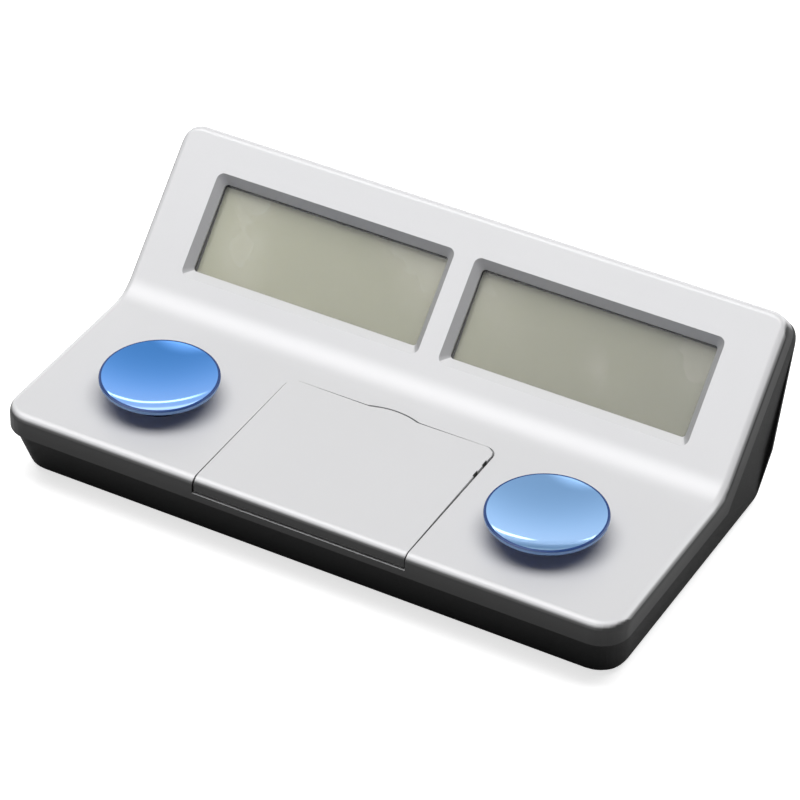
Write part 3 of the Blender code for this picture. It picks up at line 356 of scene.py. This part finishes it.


# Liquid-crystal glass: grey-green with soft blooms, and a painted shadow line along its left and top edges, where
# the window's edge shades it. Bloom: smooth step of the elliptical distance from its centre. Line: wider towards the
# foot of the left edge.
def displayGlass(name, values, side):
    graph = Graph(name)
    place = graph.place()
    x = place.axis("X") * (1 / mm)
    along = ((place.axis("Y") - creaseY) * leanCos + (place.axis("Z") - deckZ) * leanSin) * (1 / mm)
    cloud = graph.noise(values["cloudScale"], values["cloudDetail"], values["cloudRoughness"])
    bloom = 0
    for centreX, centreAlong, reachX, reachAlong, share in values[side]["hazes"]:
        aside = (x - centreX + (along - centreAlong) * values["hazeLean"]) / reachX
        ahead = (along - centreAlong) / reachAlong
        distance = (aside * aside + ahead * ahead).math("SQRT") + (cloud - 0.5) * values["cloudBloom"]
        bloom = (1 - distance.step(0.0, 1.0)) * share + bloom
    first, last = values["fade"]
    faded = ((x + values["fadeShift"]) / values["fadeOver"]).clamp()
    level = first - faded * (first - last) + (cloud - 0.5) * values["cloudLevel"]
    plain = graph.mixColour(level, (0, 0, 0), values["colour"])
    colour = graph.mixColour(bloom.clamp(), plain, graph.mixColour(level, (0, 0, 0), values["hazy"]))
    narrow, wide = values["wedge"]
    width = wide - ((along - values["wedgeFrom"]) / values["wedgeOver"]).clamp() * (wide - narrow)
    # Painted shadow line along the left and top edges
    line = 1 - (x - values[side]["edge"] - width).step(-values["sideBlur"], values["sideBlur"])
    topShadowLine = (along - values["top"] + narrow).step(-values["topBlur"], values["topBlur"])
    colour = graph.mixColour((line + topShadowLine).clamp(), colour, values["dark"])
    return graph.finish(Base_Color=colour, Roughness=values["roughness"] + bloom * values["bloomRoughness"],
                        Normal=fineGrain(graph, values["grainScale"], values["grain"]))


lensValues = {"colour": (0.92, 0.93, 0.90), "roughness": 0.05, "wearScale": 120.0, "wear": 0.02, "alpha": 0.10}


def clearLens(name, values):
    graph = Graph(name)
    wear = (graph.noise(values["wearScale"]) - 0.5) * values["wear"]
    return graph.finish(Base_Color=values["colour"], Roughness=values["roughness"] + wear, Alpha=values["alpha"])


# Moulded: colour, roughness, grain, then spread and shine. Metal: colour, roughness, streak.
finishes = {
    "silver": silverPaint("silverPaint", silverValues),
    "black": mouldedPlastic("blackPlastic", (0.0043, 0.0043, 0.0045), 0.5, 0.35, 0.2, 0.10),
    "tray": mouldedPlastic("trayPlastic", (0.035, 0.035, 0.037), 0.55, 0.25),
    "frame": mouldedPlastic("framePlastic", (0.010, 0.010, 0.011), 0.6, 0.2),
    "chip": mouldedPlastic("chipPlastic", (0.015, 0.015, 0.016), 0.45, 0.2),
    "key": mouldedPlastic("keyRubber", (0.13, 0.13, 0.14), 0.62, 0.3),
    "sheet": mouldedPlastic("sheetRubber", (0.30, 0.30, 0.31), 0.7, 0.2),
    "strip": mouldedPlastic("stripRubber", (0.45, 0.16, 0.18), 0.7, 0.2),
    "foot": mouldedPlastic("footRubber", (0.012, 0.012, 0.012), 0.85, 0.5),
    # The right cap's blue is painted paler than the left's, as a painted reflection
    "leftBlue": capPlastic("buttonBlueLeft", (0.058, 0.285, 0.775)),
    "rightBlue": capPlastic("buttonBlueRightPaintedReflection", (0.235, 0.465, 0.82)),
    "stem": stemPlastic("stemNavy", stemValues),
    "steel": metal("platedSteel", (0.62, 0.62, 0.63), 0.28, 0.10),
    "brass": metal("buzzerBrass", (0.72, 0.55, 0.26), 0.32, 0.12),
    "board": boardFinish("boardGreen", boardValues),
    "lens": clearLens("windowLens", lensValues),
    "glassLeft": displayGlass("displayGlassLeft", lcdValues, "left"),
    "glassRight": displayGlass("displayGlassRight", lcdValues, "right"),
}
print("clock: the finishes are made")


def meshFrom(name, vertices, faces):
    data = bpy.data.meshes.new(name)
    data.from_pydata(vertices.tolist(), [], faces)
    data.update()
    return data


def addPiece(name, data, finish, body, nodes, smoothAngle=40):
    piece = bpy.data.objects.new(name, data)
    bpy.context.scene.collection.objects.link(piece)
    data.materials.clear()
    data.materials.append(finishes[finish])
    data.shade_smooth()
    data.set_sharp_from_angle(angle=math.radians(smoothAngle))
    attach(piece, body)
    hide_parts(*nodes)
    return piece


# Places in millimetres on the bent face: ahead of the crease, above the deck, along the panel and above the panel
def bentPlaces(points):
    ahead, above = points[:, 1] - creaseY, points[:, 2] - deckZ
    along = ahead * leanCos + above * leanSin
    height = above * leanCos - ahead * leanSin
    return ahead / mm, above / mm, along / mm, height / mm


# Smooth step from 0 at low to 1 at high
def between(value, low, high):
    share = np.clip((value - low) / (high - low), 0, 1)
    return share * share * (3 - 2 * share)


def inRange(value, limits):
    return (value > limits[0]) & (value < limits[1])


# Values of one kind for all the mesh's vertices, faces or corners
def meshValues(items, name, size=1, kind=np.float32):
    values = np.empty(len(items) * size, kind)
    items.foreach_get(name, values)
    return values.reshape(-1, 3) if size == 3 else values


# Each face corner's normal, place and vertex
def cornerData(data):
    vertex = meshValues(data.loops, "vertex_index", 1, np.int32)
    return meshValues(data.corner_normals, "vector", 3), meshValues(data.vertices, "co", 3)[vertex], vertex


# Places are in millimetres, as bentPlaces gives them. Facings are parts of a normal or a face's direction.
paintValues = {
    # silver: facings over which the charcoal painted shade gives way to silver. panel: facings over which the
    # panel's painted light comes on.
    "silver": (0.42, 0.80), "panelAhead": -8, "panel": (0.3, 0.68),
    "window": {"across": (3.2, 84.1), "along": (10.2, 43.6), "lowest": -3.2, "wallFacing": 0.93,
               "ledgeFacing": 0.5},
    "seam": {"across": 34.7, "ahead": (-64.9, -9.9), "lowest": -2.6, "depth": (0.04, 0.20), "under": -0.6,
             "upright": 0.5, "flat": 0.6},
    # rightSeam: painted shade on the right edge's walls and in its notches
    "rightSeam": {"from": 32, "ahead": -13.5, "share": 1.1, "notchDepth": 0.75, "notchShare": 2.0},
    # crease: the painted highlight in the curve between the deck and the panel
    "crease": {"along": 9, "lowest": -1, "share": -0.3, "start": (0.05, 0.2), "end": (-0.72, -0.6)},
    # frontEdge: the painted highlight on the rounding of the deck's front edge
    "frontEdge": {"ahead": -60, "lowest": -3.5, "facing": 0.3, "share": 0.6, "tilt": (0.05, 0.28)},
}


# How a face's direction and place share out the paint and the painted light and shade, per face corner.
# silverOrSideShade: smooth step of how far the normal still faces up, or out of the panel. The charcoal where it is
# 0 is painted shade.
# paintedPanelLight: 1 on the panel, and a part of that on the rounding of the deck's front edge.
# windowShadeAndLight: 1 on the walls below the panel's face, inside the windows, which are painted grey as painted
# shade.
# -1 on their pale lower ledges, which are painted light. A small part of that in the curve of the crease, as a
# painted highlight.
# seamAndNotchShade: 1 on the walls of the lid's seam, slightly more on those of its right edge as painted shade, and
# 2 in the notches there as painted shade. It grows with the depth below the deck's face on the bevels and is whole
# on the upright faces.
def sharePaint(data, values=paintValues):
    normals, points, _ = cornerData(data)
    upward = np.repeat(meshValues(data.polygons, "normal", 3)[:, 2],
                       meshValues(data.polygons, "loop_total", 1, np.int32))
    ahead, above, along, height = bentPlaces(points)
    across = np.abs(points[:, 0]) / mm
    frontward = -normals[:, 1]
    out = normals[:, 2] * leanCos - normals[:, 1] * leanSin
    upSlope = normals[:, 2] * leanSin + normals[:, 1] * leanCos
    onPanel = ahead > values["panelAhead"]
    panelward = np.hypot(np.maximum(out, 0), np.maximum(upSlope, 0)) * onPanel
    # Where the normal turns away from the deck and the panel, the charcoal painted shade takes over
    silver = between(np.maximum(normals[:, 2], panelward), *values["silver"])

    limits = values["window"]
    window = (inRange(across, limits["across"]) & inRange(along, limits["along"]) & (height > limits["lowest"])
              & (out < limits["wallFacing"])).astype(float)
    window *= np.where(upSlope > limits["ledgeFacing"], -1, 1)
    # A painted highlight in the curve of the crease
    limits = values["crease"]
    creaseHighlight = between(frontward, *limits["start"]) * between(normals[:, 1], *limits["end"])
    window = np.where(onPanel & (along < limits["along"]) & (height > limits["lowest"]),
                      limits["share"] * creaseHighlight, window)

    limits = values["seam"]
    seam = ((across < limits["across"]) & inRange(ahead, limits["ahead"]) & (above > limits["lowest"])
            & (upward > limits["under"]))
    seam = seam * np.maximum(between(-above, *limits["depth"]), upward < limits["upright"])
    flat = upward >= limits["flat"]
    # Painted shade on the right edge's walls and in its notches
    limits = values["rightSeam"]
    right = seam * (points[:, 0] > limits["from"] * mm) * (ahead < limits["ahead"])
    deep = points[:, 0] < lidHigh.x - limits["notchDepth"] * mm
    seam = seam * ~flat * (right == 0) + right * np.where(deep, limits["notchShare"], limits["share"])

    # Painted light on the panel and a painted highlight on the rounding of the deck's front edge
    limits = values["frontEdge"]
    panel = onPanel * between(frontward, *values["panel"])
    frontEdge = (ahead < limits["ahead"]) & (normals[:, 2] > limits["facing"]) & (above > limits["lowest"])
    panel = np.maximum(panel, limits["share"] * frontEdge * between(frontward, *limits["tilt"]))
    shares = {"silverOrSideShade": silver, "windowShadeAndLight": window, "seamAndNotchShade": seam, "paintedPanelLight": panel}
    for name, share in shares.items():
        layer = data.attributes.new(name, "FLOAT", "CORNER")
        layer.data.foreach_set("value", share.astype(np.float32))


# Faces are taken as one flat where their directions agree to 1 in "directions" and their planes to "offset".
# "reach" is the cosine of 60 degrees and "aligned" that of a quarter of a degree.
flatValues = {"directions": 120, "offset": 0.06 * mm, "reach": 0.5, "aligned": 0.99999}


# The piece's modifiers become part of its mesh, and its large flat faces keep their own direction up to their
# edges: a corner beside such a face takes that face's normal where it is within 60 degrees of its own face's.
# Such faces look along an axis, out of the panel or up its slope.
def settleFlats(piece, leastArea, values=flatValues):
    shown = piece.evaluated_get(bpy.context.evaluated_depsgraph_get())
    data = bpy.data.meshes.new_from_object(shown)
    piece.modifiers.clear()
    piece.data = data
    facing, middle = meshValues(data.polygons, "normal", 3), meshValues(data.polygons, "center", 3)
    areas = meshValues(data.polygons, "area")
    sides = meshValues(data.polygons, "loop_total", 1, np.int32)
    offset = (facing * middle).sum(1)
    keys = np.column_stack([np.round(facing * values["directions"]), np.round(offset / values["offset"])])
    group = np.unique(keys, axis=0, return_inverse=True)[1].ravel()
    groupArea = np.bincount(group, areas)
    ways = np.array([(1, 0, 0), (0, 1, 0), (0, 0, 1), (0, -leanSin, leanCos), (0, leanCos, leanSin)])
    normals, _, vertex = cornerData(data)
    cornerFace = np.repeat(np.arange(len(data.polygons)), sides)
    nearest = np.full(len(vertex), values["reach"])
    for flat in np.nonzero(groupArea > leastArea)[0]:
        member = group == flat
        direction = (facing[member] * areas[member, None]).sum(0)
        direction /= np.linalg.norm(direction)
        if np.abs(ways @ direction).max() < values["aligned"]:
            continue
        touched = np.zeros(len(data.vertices), bool)
        touched[vertex[member[cornerFace]]] = True
        share = facing[cornerFace] @ direction
        taken = touched[vertex] & (share > nearest)
        normals[taken] = direction
        nearest[taken] = share[taken]
    data.normals_split_custom_set(normals.tolist())
    data.update()


# "merge" joins the loose triangles' corners, and faces within "flatAngle" degrees become one
softenValues = {"merge": 0.002 * mm, "flatAngle": 0.6, "sharpAngle": 38, "normalWeight": 80}


# A CAD node's own surface, merged and with its flat faces made whole, then softened along its sharp edges.
# shareOf gives the share of the edge's width from the middles of the sharp edges.
def softenedNode(node, name, finish, edgeWidth, segments=2, reshape=None, shareOf=None, flats=None, clamp=True,
                 values=softenValues):
    angle = values["sharpAngle"]
    data = bpy.data.meshes.new(name)
    shape = bmesh.new()
    shape.from_mesh(frame["nodes"][node].data)
    bmesh.ops.remove_doubles(shape, verts=shape.verts, dist=values["merge"])
    bmesh.ops.dissolve_limit(shape, angle_limit=math.radians(values["flatAngle"]), verts=shape.verts,
                             edges=shape.edges)
    if shareOf:
        layer = shape.edges.layers.float.new("bevel_weight_edge")
        sharp = [edge for edge in shape.edges if edge.calc_face_angle(0) > math.radians(angle)]
        middles = np.array([(edge.verts[0].co + edge.verts[1].co) / 2 for edge in sharp])
        for edge, share in zip(sharp, shareOf(middles)):
            edge[layer] = share
    shape.to_mesh(data)
    shape.free()
    if reshape:
        reshape(data)
    piece = addPiece(name, data, finish, bodyOf[node], [node], smoothAngle=angle)
    soften = piece.modifiers.new("soften", "BEVEL")
    soften.limit_method = "WEIGHT" if shareOf else "ANGLE"
    soften.angle_limit = math.radians(angle)
    soften.width = edgeWidth
    soften.segments = segments
    soften.use_clamp_overlap = clamp
    soften.miter_outer = "MITER_SHARP"
    weigh = piece.modifiers.new("weigh", "WEIGHTED_NORMAL")
    weigh.mode = "FACE_AREA"
    weigh.weight = values["normalWeight"]
    weigh.keep_sharp = False
    if flats:
        settleFlats(piece, flats)
    if finish == "silver":
        sharePaint(piece.data)
    return piece


# A profile of radii and heights turned about Z at a centre; points on the axis become single pole vertices.
# Point (i, k) = centre + (radius i times cos and sin of turn k, height i).
def turnedMesh(name, profile, centre, sides, zones):
    turns = np.arange(sides) * (2 * math.pi / sides)
    ring = np.stack([np.cos(turns), np.sin(turns)], 1)
    body = profile[1:-1]
    points = np.concatenate([body[:, None, :1] * ring[None], np.repeat(body[:, None, 1:], sides, 1)], 2)
    poles = np.array([[0, 0, profile[0, 1]], [0, 0, profile[-1, 1]]])
    vertices = np.concatenate([points.reshape(-1, 3), poles]) + np.array(centre)
    rows = len(body)
    first = np.arange(sides)
    following = (first + 1) % sides
    base = np.arange(rows - 1)[:, None] * sides
    quads = np.stack([base + first, base + following, base + sides + following, base + sides + first], 2)
    faces = quads.reshape(-1, 4).tolist()
    low, high = rows * sides, rows * sides + 1
    faces += np.stack([np.full(sides, low), following, first], 1).tolist()
    last = (rows - 1) * sides
    faces += np.stack([np.full(sides, high), last + first, last + following], 1).tolist()
    data = meshFrom(name, vertices, faces)
    shape = bmesh.new()
    shape.from_mesh(data)
    bmesh.ops.recalc_face_normals(shape, faces=shape.faces)
    shape.to_mesh(data)
    shape.free()
    layer = data.attributes.new("capZone", "FLOAT", "POINT")
    layer.data.foreach_set("value", np.append(np.repeat(zones[1:-1], sides), [zones[0], zones[-1]]))
    return data


# An arc about a centre from one direction in degrees to another, as radii and heights:
# centre + radius times cos and sin of the direction
def arcPoints(centre, radius, start, end, count):
    angles = np.radians(np.linspace(start, end, count))
    return np.array(centre) + radius * np.stack([np.cos(angles), np.sin(angles)], 1)


# Heights are above the deck. "line" and "bright" are where the rim's dark line and its paler side, a painted
# highlight, begin. "underShare" is the part of the lip's height that belongs to the underside, painted dark as
# painted shade.
buttonValues = {
    "radius": 17.7 * mm, "rim": 7.0 * mm, "thickness": 1.5 * mm, "dish": 2.2 * mm, "lip": 0.55 * mm,
    "hub": 10.2 * mm, "hubInset": 0.2 * mm, "hubRound": 0.4 * mm, "dishRound": 0.25 * mm, "dishInset": 0.1 * mm,
    "dishSpan": (0.985, 0.02), "dishRows": 34, "arcRows": (3, 8, 12, 4), "coneAngle": -70,
    "line": 0.02 * mm, "bright": 0.22 * mm, "underShare": 0.45, "sides": 160, "stemEdge": 0.15 * mm,
}


# Push button cap: rounded rim, spherical dish above and a shallow cone below.
# Height in the dish = its floor + the ball's radius - root of (ball's radius squared - distance from the axis
# squared), where the ball passes through the dish's floor and its edge.
def makeButtonCap(side, name, values):
    low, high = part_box(side + "_button_cap")
    centre = ((low.x + high.x) / 2, (low.y + high.y) / 2, deckZ)
    radius, rim, lip = values["radius"], values["rim"], values["lip"]
    floor, under = rim - values["dish"], rim - values["thickness"]
    hubLow = floor - values["thickness"]
    edge = radius - lip - values["dishRound"]
    ball = (edge ** 2 + values["dish"] ** 2) / (2 * values["dish"])
    tilt = math.degrees(math.asin(edge / ball))
    spread = (edge - values["dishInset"]) * np.linspace(*values["dishSpan"], values["dishRows"])
    hubRows, underRows, lipRows, roundRows = values["arcRows"]
    outside = [
        np.array([(0, hubLow)]),
        arcPoints((values["hub"] - values["hubInset"], hubLow + values["hubRound"]), values["hubRound"],
                  -90, values["coneAngle"], hubRows),
        arcPoints((radius - lip, under + lip), lip, values["coneAngle"], 0, underRows),
        arcPoints((radius - lip, rim - lip), lip, 0, 90, lipRows),
    ]
    inside = [
        arcPoints((edge, rim - values["dishRound"]), values["dishRound"], 90, 90 + tilt, roundRows),
        np.stack([spread, floor + ball - np.sqrt(ball ** 2 - spread ** 2)], 1),
        np.array([(0, floor)]),
    ]
    profile = np.concatenate(outside + inside)
    dish = (np.arange(len(profile)) >= sum(map(len, outside))) & (profile[:, 0] < edge - values["line"])
    heights = profile[:, 1]
    zones = np.where(heights > under + values["underShare"] * lip, 2.0, 3.0)
    zones = np.where(heights > rim - lip + values["bright"], 1.0, zones)
    data = turnedMesh(name, profile, centre, values["sides"], np.where(dish, 0.0, zones))
    return addPiece(name, data, side + "Blue", side + "_button", [side + "_button_cap"], smoothAngle=60)


for side in ("left", "right"):
    makeButtonCap(side, side + "ButtonDish", buttonValues)
    softenedNode(side + "_button_stem", side + "ButtonStem", "stem", buttonValues["stemEdge"])
print("clock: the push buttons are made")

# Moves of the lid's edges: "closer" outwards at the left and the back, "further" inwards at the right, "tabMove"
# inwards at the thumb tab and "notchMove" outwards at the notches' floors. Shares are of the softened edge's
# width. The other lengths bound the places on the lid's edges that these act on.
lidValues = {
    "closer": 0.265 * mm, "further": 0.42 * mm, "tabMove": 0.12 * mm, "notchMove": 0.2 * mm,
    "edge": 0.34 * mm, "leftShare": 0.4, "backShare": 0.15, "tabShare": 0.8, "frontShare": 0.8,
    "notchShare": 0.3,
    "margin": 1 * mm, "frontBand": 3 * mm, "leftBand": 3 * mm, "backBand": 4 * mm, "rightBand": 2 * mm,
    "tabHalf": 7.6 * mm, "softDepth": 0.3 * mm, "notchBand": 16 * mm, "notchEnd": 5 * mm,
    "notchFloor": 0.6 * mm, "near": 0.1 * mm,
    "moveBand": 3.6 * mm, "hingeBand": 4 * mm, "tabSide": 8.6 * mm, "tabReach": 1.7 * mm, "tabStart": 0.3 * mm,
    "frontGrowth": 0.5,
}
shellValues = {"coverEdge": 0.22 * mm, "housingEdge": 0.25 * mm, "segments": 3, "leastFlat": 30 * mm * mm}


# Edges of the lid and of its opening: full width along the right, most of it along the front and the thumb tab,
# less along the left, the back and the notched stretch, and none below the deck's face and in the notches
def seamShares(middles, values=lidValues):
    x, y, z = middles.T
    margin = values["margin"]
    inside = (inRange(x, (lidLow.x - margin, lidHigh.x + margin))
              & inRange(y, (lidLow.y + values["frontBand"], lidHigh.y + margin)))
    left = inside & (x < lidLow.x + values["leftBand"])
    atBack = inside & (y > lidHigh.y - values["backBand"])
    back = atBack & (x < lidHigh.x - values["rightBand"])
    tab = atBack & (np.abs(x) < values["tabHalf"])
    atRight = inside & (x > lidHigh.x - margin)
    notched = atRight & (y > lidHigh.y - values["notchBand"])
    notch = atRight & (x < lidHigh.x - values["near"]) & (y < lidHigh.y - values["notchEnd"])
    lower = inside & (z < deckZ - values["softDepth"])
    front = y < lidLow.y + values["frontBand"]
    shares = np.where(left, values["leftShare"], np.where(front, values["frontShare"], 1.0))
    for place, share in ((back, "backShare"), (tab, "tabShare"), (notched, "notchShare")):
        shares = np.where(place, values[share], shares)
    return np.where(lower | notch, 0.0, shares)


softenedNode("top_cover", "coverShell", "silver", shellValues["coverEdge"], shellValues["segments"],
             shareOf=seamShares, flats=shellValues["leastFlat"])


# The lid's seam as the photo shows it: points on the left and back edges move outwards by a small distance,
# which at the left grows from front to back, points on the right edge and the thumb tab's edge move inwards,
# and the notches' floors move outwards.
def closeSeams(data, values=lidValues):
    points = meshValues(data.vertices, "co", 3)
    behind = points[:, 1] > lidLow.y + values["hingeBand"]
    tab = np.abs(points[:, 0]) < values["tabSide"]
    backEdge = lidHigh.y - values["tabReach"]
    backShare = np.clip((points[:, 1] - lidLow.y) / (lidHigh.y - lidLow.y), 0, 1)
    growth = values["frontGrowth"] + (1 - values["frontGrowth"]) * backShare
    points[:, 0] -= np.where(points[:, 0] < lidLow.x + values["moveBand"], values["closer"], 0) * behind * growth
    notch = ((np.abs(points[:, 0] - (lidHigh.x - values["notchFloor"])) < values["near"])
             & (points[:, 1] < lidHigh.y - values["notchEnd"]))
    points[:, 0] -= np.where(points[:, 0] > lidHigh.x - values["moveBand"], values["further"], 0) * behind
    points[:, 0] += np.where(notch, values["notchMove"], 0)
    points[:, 1] += np.where((points[:, 1] > backEdge - values["moveBand"]) & ~tab, values["closer"], 0)
    points[:, 1] -= np.where((points[:, 1] > backEdge + values["tabStart"]) & tab, values["tabMove"], 0)
    data.vertices.foreach_set("co", points.ravel())
    data.update()


softenedNode("setting_lid", "lidPanel", "silver", lidValues["edge"], shellValues["segments"], reshape=closeSeams,
             shareOf=seamShares, flats=shellValues["leastFlat"], clamp=False)
softenedNode("lower_housing", "housingTub", "black", shellValues["housingEdge"])
print("clock: the shells are made")

# "flat" is the part of a turn at each end that lies nearly level, and "slope" is how far it still rises
springValues = {"radius": 6.1 * mm, "wire": 0.9 * mm, "turns": 5, "flat": 0.6, "slope": 0.04, "steps": 36,
                "sides": 12, "travel": 2.5 * mm}


# A round wire wound as a helix with its last turn at each end pressed flat.
# Point (i, k) = helix point i + half the wire times (cos k outwards + sin k upwards).
# Height along the coil: share of the free turns passed, held nearly level over the end turns.
def coilMesh(low, high, values):
    turns, steps, sides, slope = values["turns"], values["steps"], values["sides"], values["slope"]
    count = turns * steps + 1
    share = np.linspace(0, 1, count)
    angle = share * turns * 2 * math.pi
    rise = np.clip((share * turns - values["flat"]) / (turns - 2 * values["flat"]), 0, 1)
    rise = rise + slope * (share - 0.5) - slope * (rise - 0.5)
    outward = np.stack([np.cos(angle), np.sin(angle), np.zeros(count)], 1)
    centreLine = values["radius"] * outward
    centreLine[:, 2] = low + (high - low) * rise
    upward = np.array([0, 0, 1.0])
    turn = np.arange(sides) * 2 * math.pi / sides
    ring = centreLine[:, None] + values["wire"] / 2 * (np.cos(turn)[None, :, None] * outward[:, None]
                                                       + np.sin(turn)[None, :, None] * upward)
    first = np.arange(sides)
    following = (first + 1) % sides
    base = np.arange(count - 1)[:, None] * sides
    quads = np.stack([base + first, base + sides + first, base + sides + following, base + following], 2)
    faces = quads.reshape(-1, 4).tolist()
    faces += [list(range(sides)), list(range(count * sides - 1, (count - 1) * sides - 1, -1))]
    return ring.reshape(-1, 3), faces


for side in ("left", "right"):
    low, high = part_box(side + "_return_spring")
    half = springValues["wire"] / 2
    vertices, faces = coilMesh(low.z + half, high.z - half, springValues)
    vertices = vertices + np.array(((low.x + high.x) / 2, (low.y + high.y) / 2, 0))
    spring = addPiece(side + "ReturnSpring", meshFrom(side + "ReturnSpring", vertices, faces), "steel", "case",
                      [side + "_return_spring"])
    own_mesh(spring)
print("clock: the springs are made")

plainNodes = {
    "battery_door": "black", "key_tray": "tray", "keypad_sheet": "sheet", "left_window_lens": "lens",
    "right_window_lens": "lens", "left_display_glass": "glassLeft", "right_display_glass": "glassRight",
    "left_display_frame": "frame", "right_display_frame": "frame", "left_contact_strip": "strip",
    "right_contact_strip": "strip", "display_board": "board", "main_board": "board", "control_chip": "chip",
    "left_button_switch": "chip", "right_button_switch": "chip", "lid_hinge_pin_left": "steel",
    "lid_hinge_pin_right": "steel", "battery_bridge_plate": "steel", "battery_positive_plate": "steel",
    "battery_negative_plate": "steel", "battery_coil_1": "steel", "battery_coil_2": "steel", "buzzer": "brass",
}


keyEdge = 0.12 * mm


# The CAD node keeps its own surface and only gets a material
def finishNode(node, material):
    data = frame["nodes"][node].data
    data.materials.clear()
    data.materials.append(material)


for number in range(1, 5):
    plainNodes["housing_screw_%d" % number] = "steel"
    plainNodes["display_screw_%d" % number] = "steel"
    plainNodes["rubber_foot_%d" % number] = "foot"
    softenedNode("set_key_%d" % number, "setKey%d" % number, "key", keyEdge)
for node, finish in plainNodes.items():
    finishNode(node, finishes[finish])
for number, direction in ((1, 1), (2, -1)):  # the cells lie head to tail
    low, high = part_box("battery_cell_%d" % number)
    finishNode("battery_cell_%d" % number,
               cellSleeve("cellSleeve%d" % number, low.x, high.x, direction, sleeveValues))
print("clock: the inner pieces have their finishes")


cameraValues = {"place": (458.224 * mm, frontY - 783.728 * mm, deckZ + 725.728 * mm),
                "turn": (52.9873, -0.80397, 29.13865), "lens": 187.23, "sensor": 36, "clip": (0.05, 20)}


def addCamera(values):
    data = bpy.data.cameras.new("photoCamera")
    data.lens = values["lens"]
    data.sensor_width = values["sensor"]
    data.clip_start, data.clip_end = values["clip"]
    camera = bpy.data.objects.new("photoCamera", data)
    camera.location = values["place"]
    camera.rotation_euler = [math.radians(angle) for angle in values["turn"]]
    bpy.context.scene.collection.objects.link(camera)
    bpy.context.scene.camera = camera


lampValues = {"place": (-0.06, 0.19, 1.5), "target": (0, 0, 0.02), "size": (2.2, 1.15), "power": 33.0}


# The lamp's own mirror image is left out: the world has a soft round glow in its place
def addLamp(name, values):
    data = bpy.data.lights.new(name, "AREA")
    data.shape = "RECTANGLE"
    data.size, data.size_y = values["size"]
    data.energy = values["power"]
    lamp = bpy.data.objects.new(name, data)
    lamp.location = values["place"]
    towards = Vector(values["target"]) - Vector(values["place"])
    lamp.rotation_euler = towards.to_track_quat("-Z", "Y").to_euler()
    lamp.visible_glossy = False
    bpy.context.scene.collection.objects.link(lamp)


# The sky's directions run from -1 to 1 on each axis. A pair is the two ends of a smooth change.
studioValues = {
    "world": 0.11, "horizon": 1.10, "ceiling": 0.34, "heights": (0.35, 0.92),
    "tilt": 0.3, "tiltShift": 0.38, "tiltLimits": (0.7, 1.3), "back": (0.3, 0.5),
    "arc": {"glow": 4.0, "low": 0.280, "high": 0.300, "blur": 0.008, "shift": 0.41, "straight": 0.05,
            "bend": 1.2, "rise": 0.045, "riseAt": (-0.46, -0.30), "ends": (0.12, 0.22)},
    "crescent": {"glow": 1.2, "high": 0.17, "blur": 0.03},
    "lobe": {"glow": 2.6, "centre": (-0.38, -0.05, 0.923), "span": (0.885, 0.985)},
    "front": {"glow": 1.7, "centre": (-0.35, -0.64, 0.69), "span": (0.55, 0.95)},
    "floor": (0.80, 0.80, 0.80), "floorGlow": 0.70, "floorRoughness": 0.9, "floorHalf": 6.0,
}


# A soft round glow about a direction of the sky
def roundGlow(graph, sky, values):
    towards = graph.node("ShaderNodeVectorMath", {"operation": "DOT_PRODUCT"}, [sky, values["centre"]], "Value")
    return towards.step(*values["span"]) * values["glow"]


# What glossy faces mirror is bright near the horizon, darker overhead, brighter to the right, and has a thin
# bright band and a low bright one at the back, both bent upwards, and a round glow overhead and at the front.
def mirroredSky(graph, values):
    sky = graph.node("ShaderNodeTexCoord", {}, {}, "Generated")
    x, y, z = (sky.axis(name) for name in "XYZ")
    rise = values["horizon"] - z.step(*values["heights"]) * (values["horizon"] - values["ceiling"])
    tilt = ((x + values["tiltShift"]) * values["tilt"] + 1).clamp(*values["tiltLimits"])
    arc, crescent = values["arc"], values["crescent"]
    aside = ((x + arc["shift"]).math("ABSOLUTE") - arc["straight"]).math("MAXIMUM", 0.0)
    bent = z - aside * aside * arc["bend"] - x.step(*arc["riseAt"]) * arc["rise"]
    band = (bent.step(arc["low"] - arc["blur"], arc["low"]) * (1 - bent.step(arc["high"], arc["high"] + arc["blur"]))
            * (1 - aside.step(*arc["ends"])))
    lowBand = 1 - bent.step(crescent["high"], crescent["high"] + crescent["blur"])
    bands = y.step(*values["back"]) * (band * arc["glow"] + lowBand * crescent["glow"])
    return rise * tilt + bands + roundGlow(graph, sky, values["lobe"]) + roundGlow(graph, sky, values["front"])


# World: white to the camera, even to matt faces.
# Floor of matt white card: it takes the shadow, and adds a glow that only the camera sees.
def addStudio(values):
    world = bpy.data.worlds.new("studio")
    bpy.context.scene.world = world
    graph = Graph("studio", world)
    strength = values["world"]
    for ray, level in (("Is Glossy Ray", mirroredSky(graph, values)), ("Is Transmission Ray", 1.0),
                       ("Is Camera Ray", 1.0)):
        share = graph.node("ShaderNodeLightPath", {}, {}, ray)
        strength = graph.node("ShaderNodeMix", {}, {0: share, 2: strength, 3: level})
    background = graph.tree.nodes["Background"].inputs
    graph.put(background["Strength"], strength)
    graph.put(background["Color"], (1, 1, 1))
    card = Graph("floorCard")
    card.finish(Base_Color=values["floor"], Roughness=values["floorRoughness"], Specular_IOR_Level=0.0)
    glow = card.node("ShaderNodeLightPath", {}, {}, "Is Camera Ray") * values["floorGlow"]
    both = card.node("ShaderNodeAddShader", {}, [Wire(card, card.shader.outputs[0]),
                                                 card.node("ShaderNodeEmission", {}, {"Strength": glow})])
    card.put(card.tree.nodes["Material Output"].inputs["Surface"], both)
    half = values["floorHalf"]
    corners = np.array([[-half, -half, 0], [half, -half, 0], [half, half, 0], [-half, half, 0]])
    data = meshFrom("studioFloor", corners, [[0, 1, 2, 3]])
    data.materials.append(card.material)
    stage = bpy.data.objects.new("studioFloor", data)
    bpy.context.scene.collection.objects.link(stage)


addCamera(cameraValues)
addStudio(studioValues)
addLamp("overheadSoftbox", lampValues)
print("clock: the camera and the lights are set")

scene = bpy.context.scene
scene.view_settings.view_transform = "Standard"
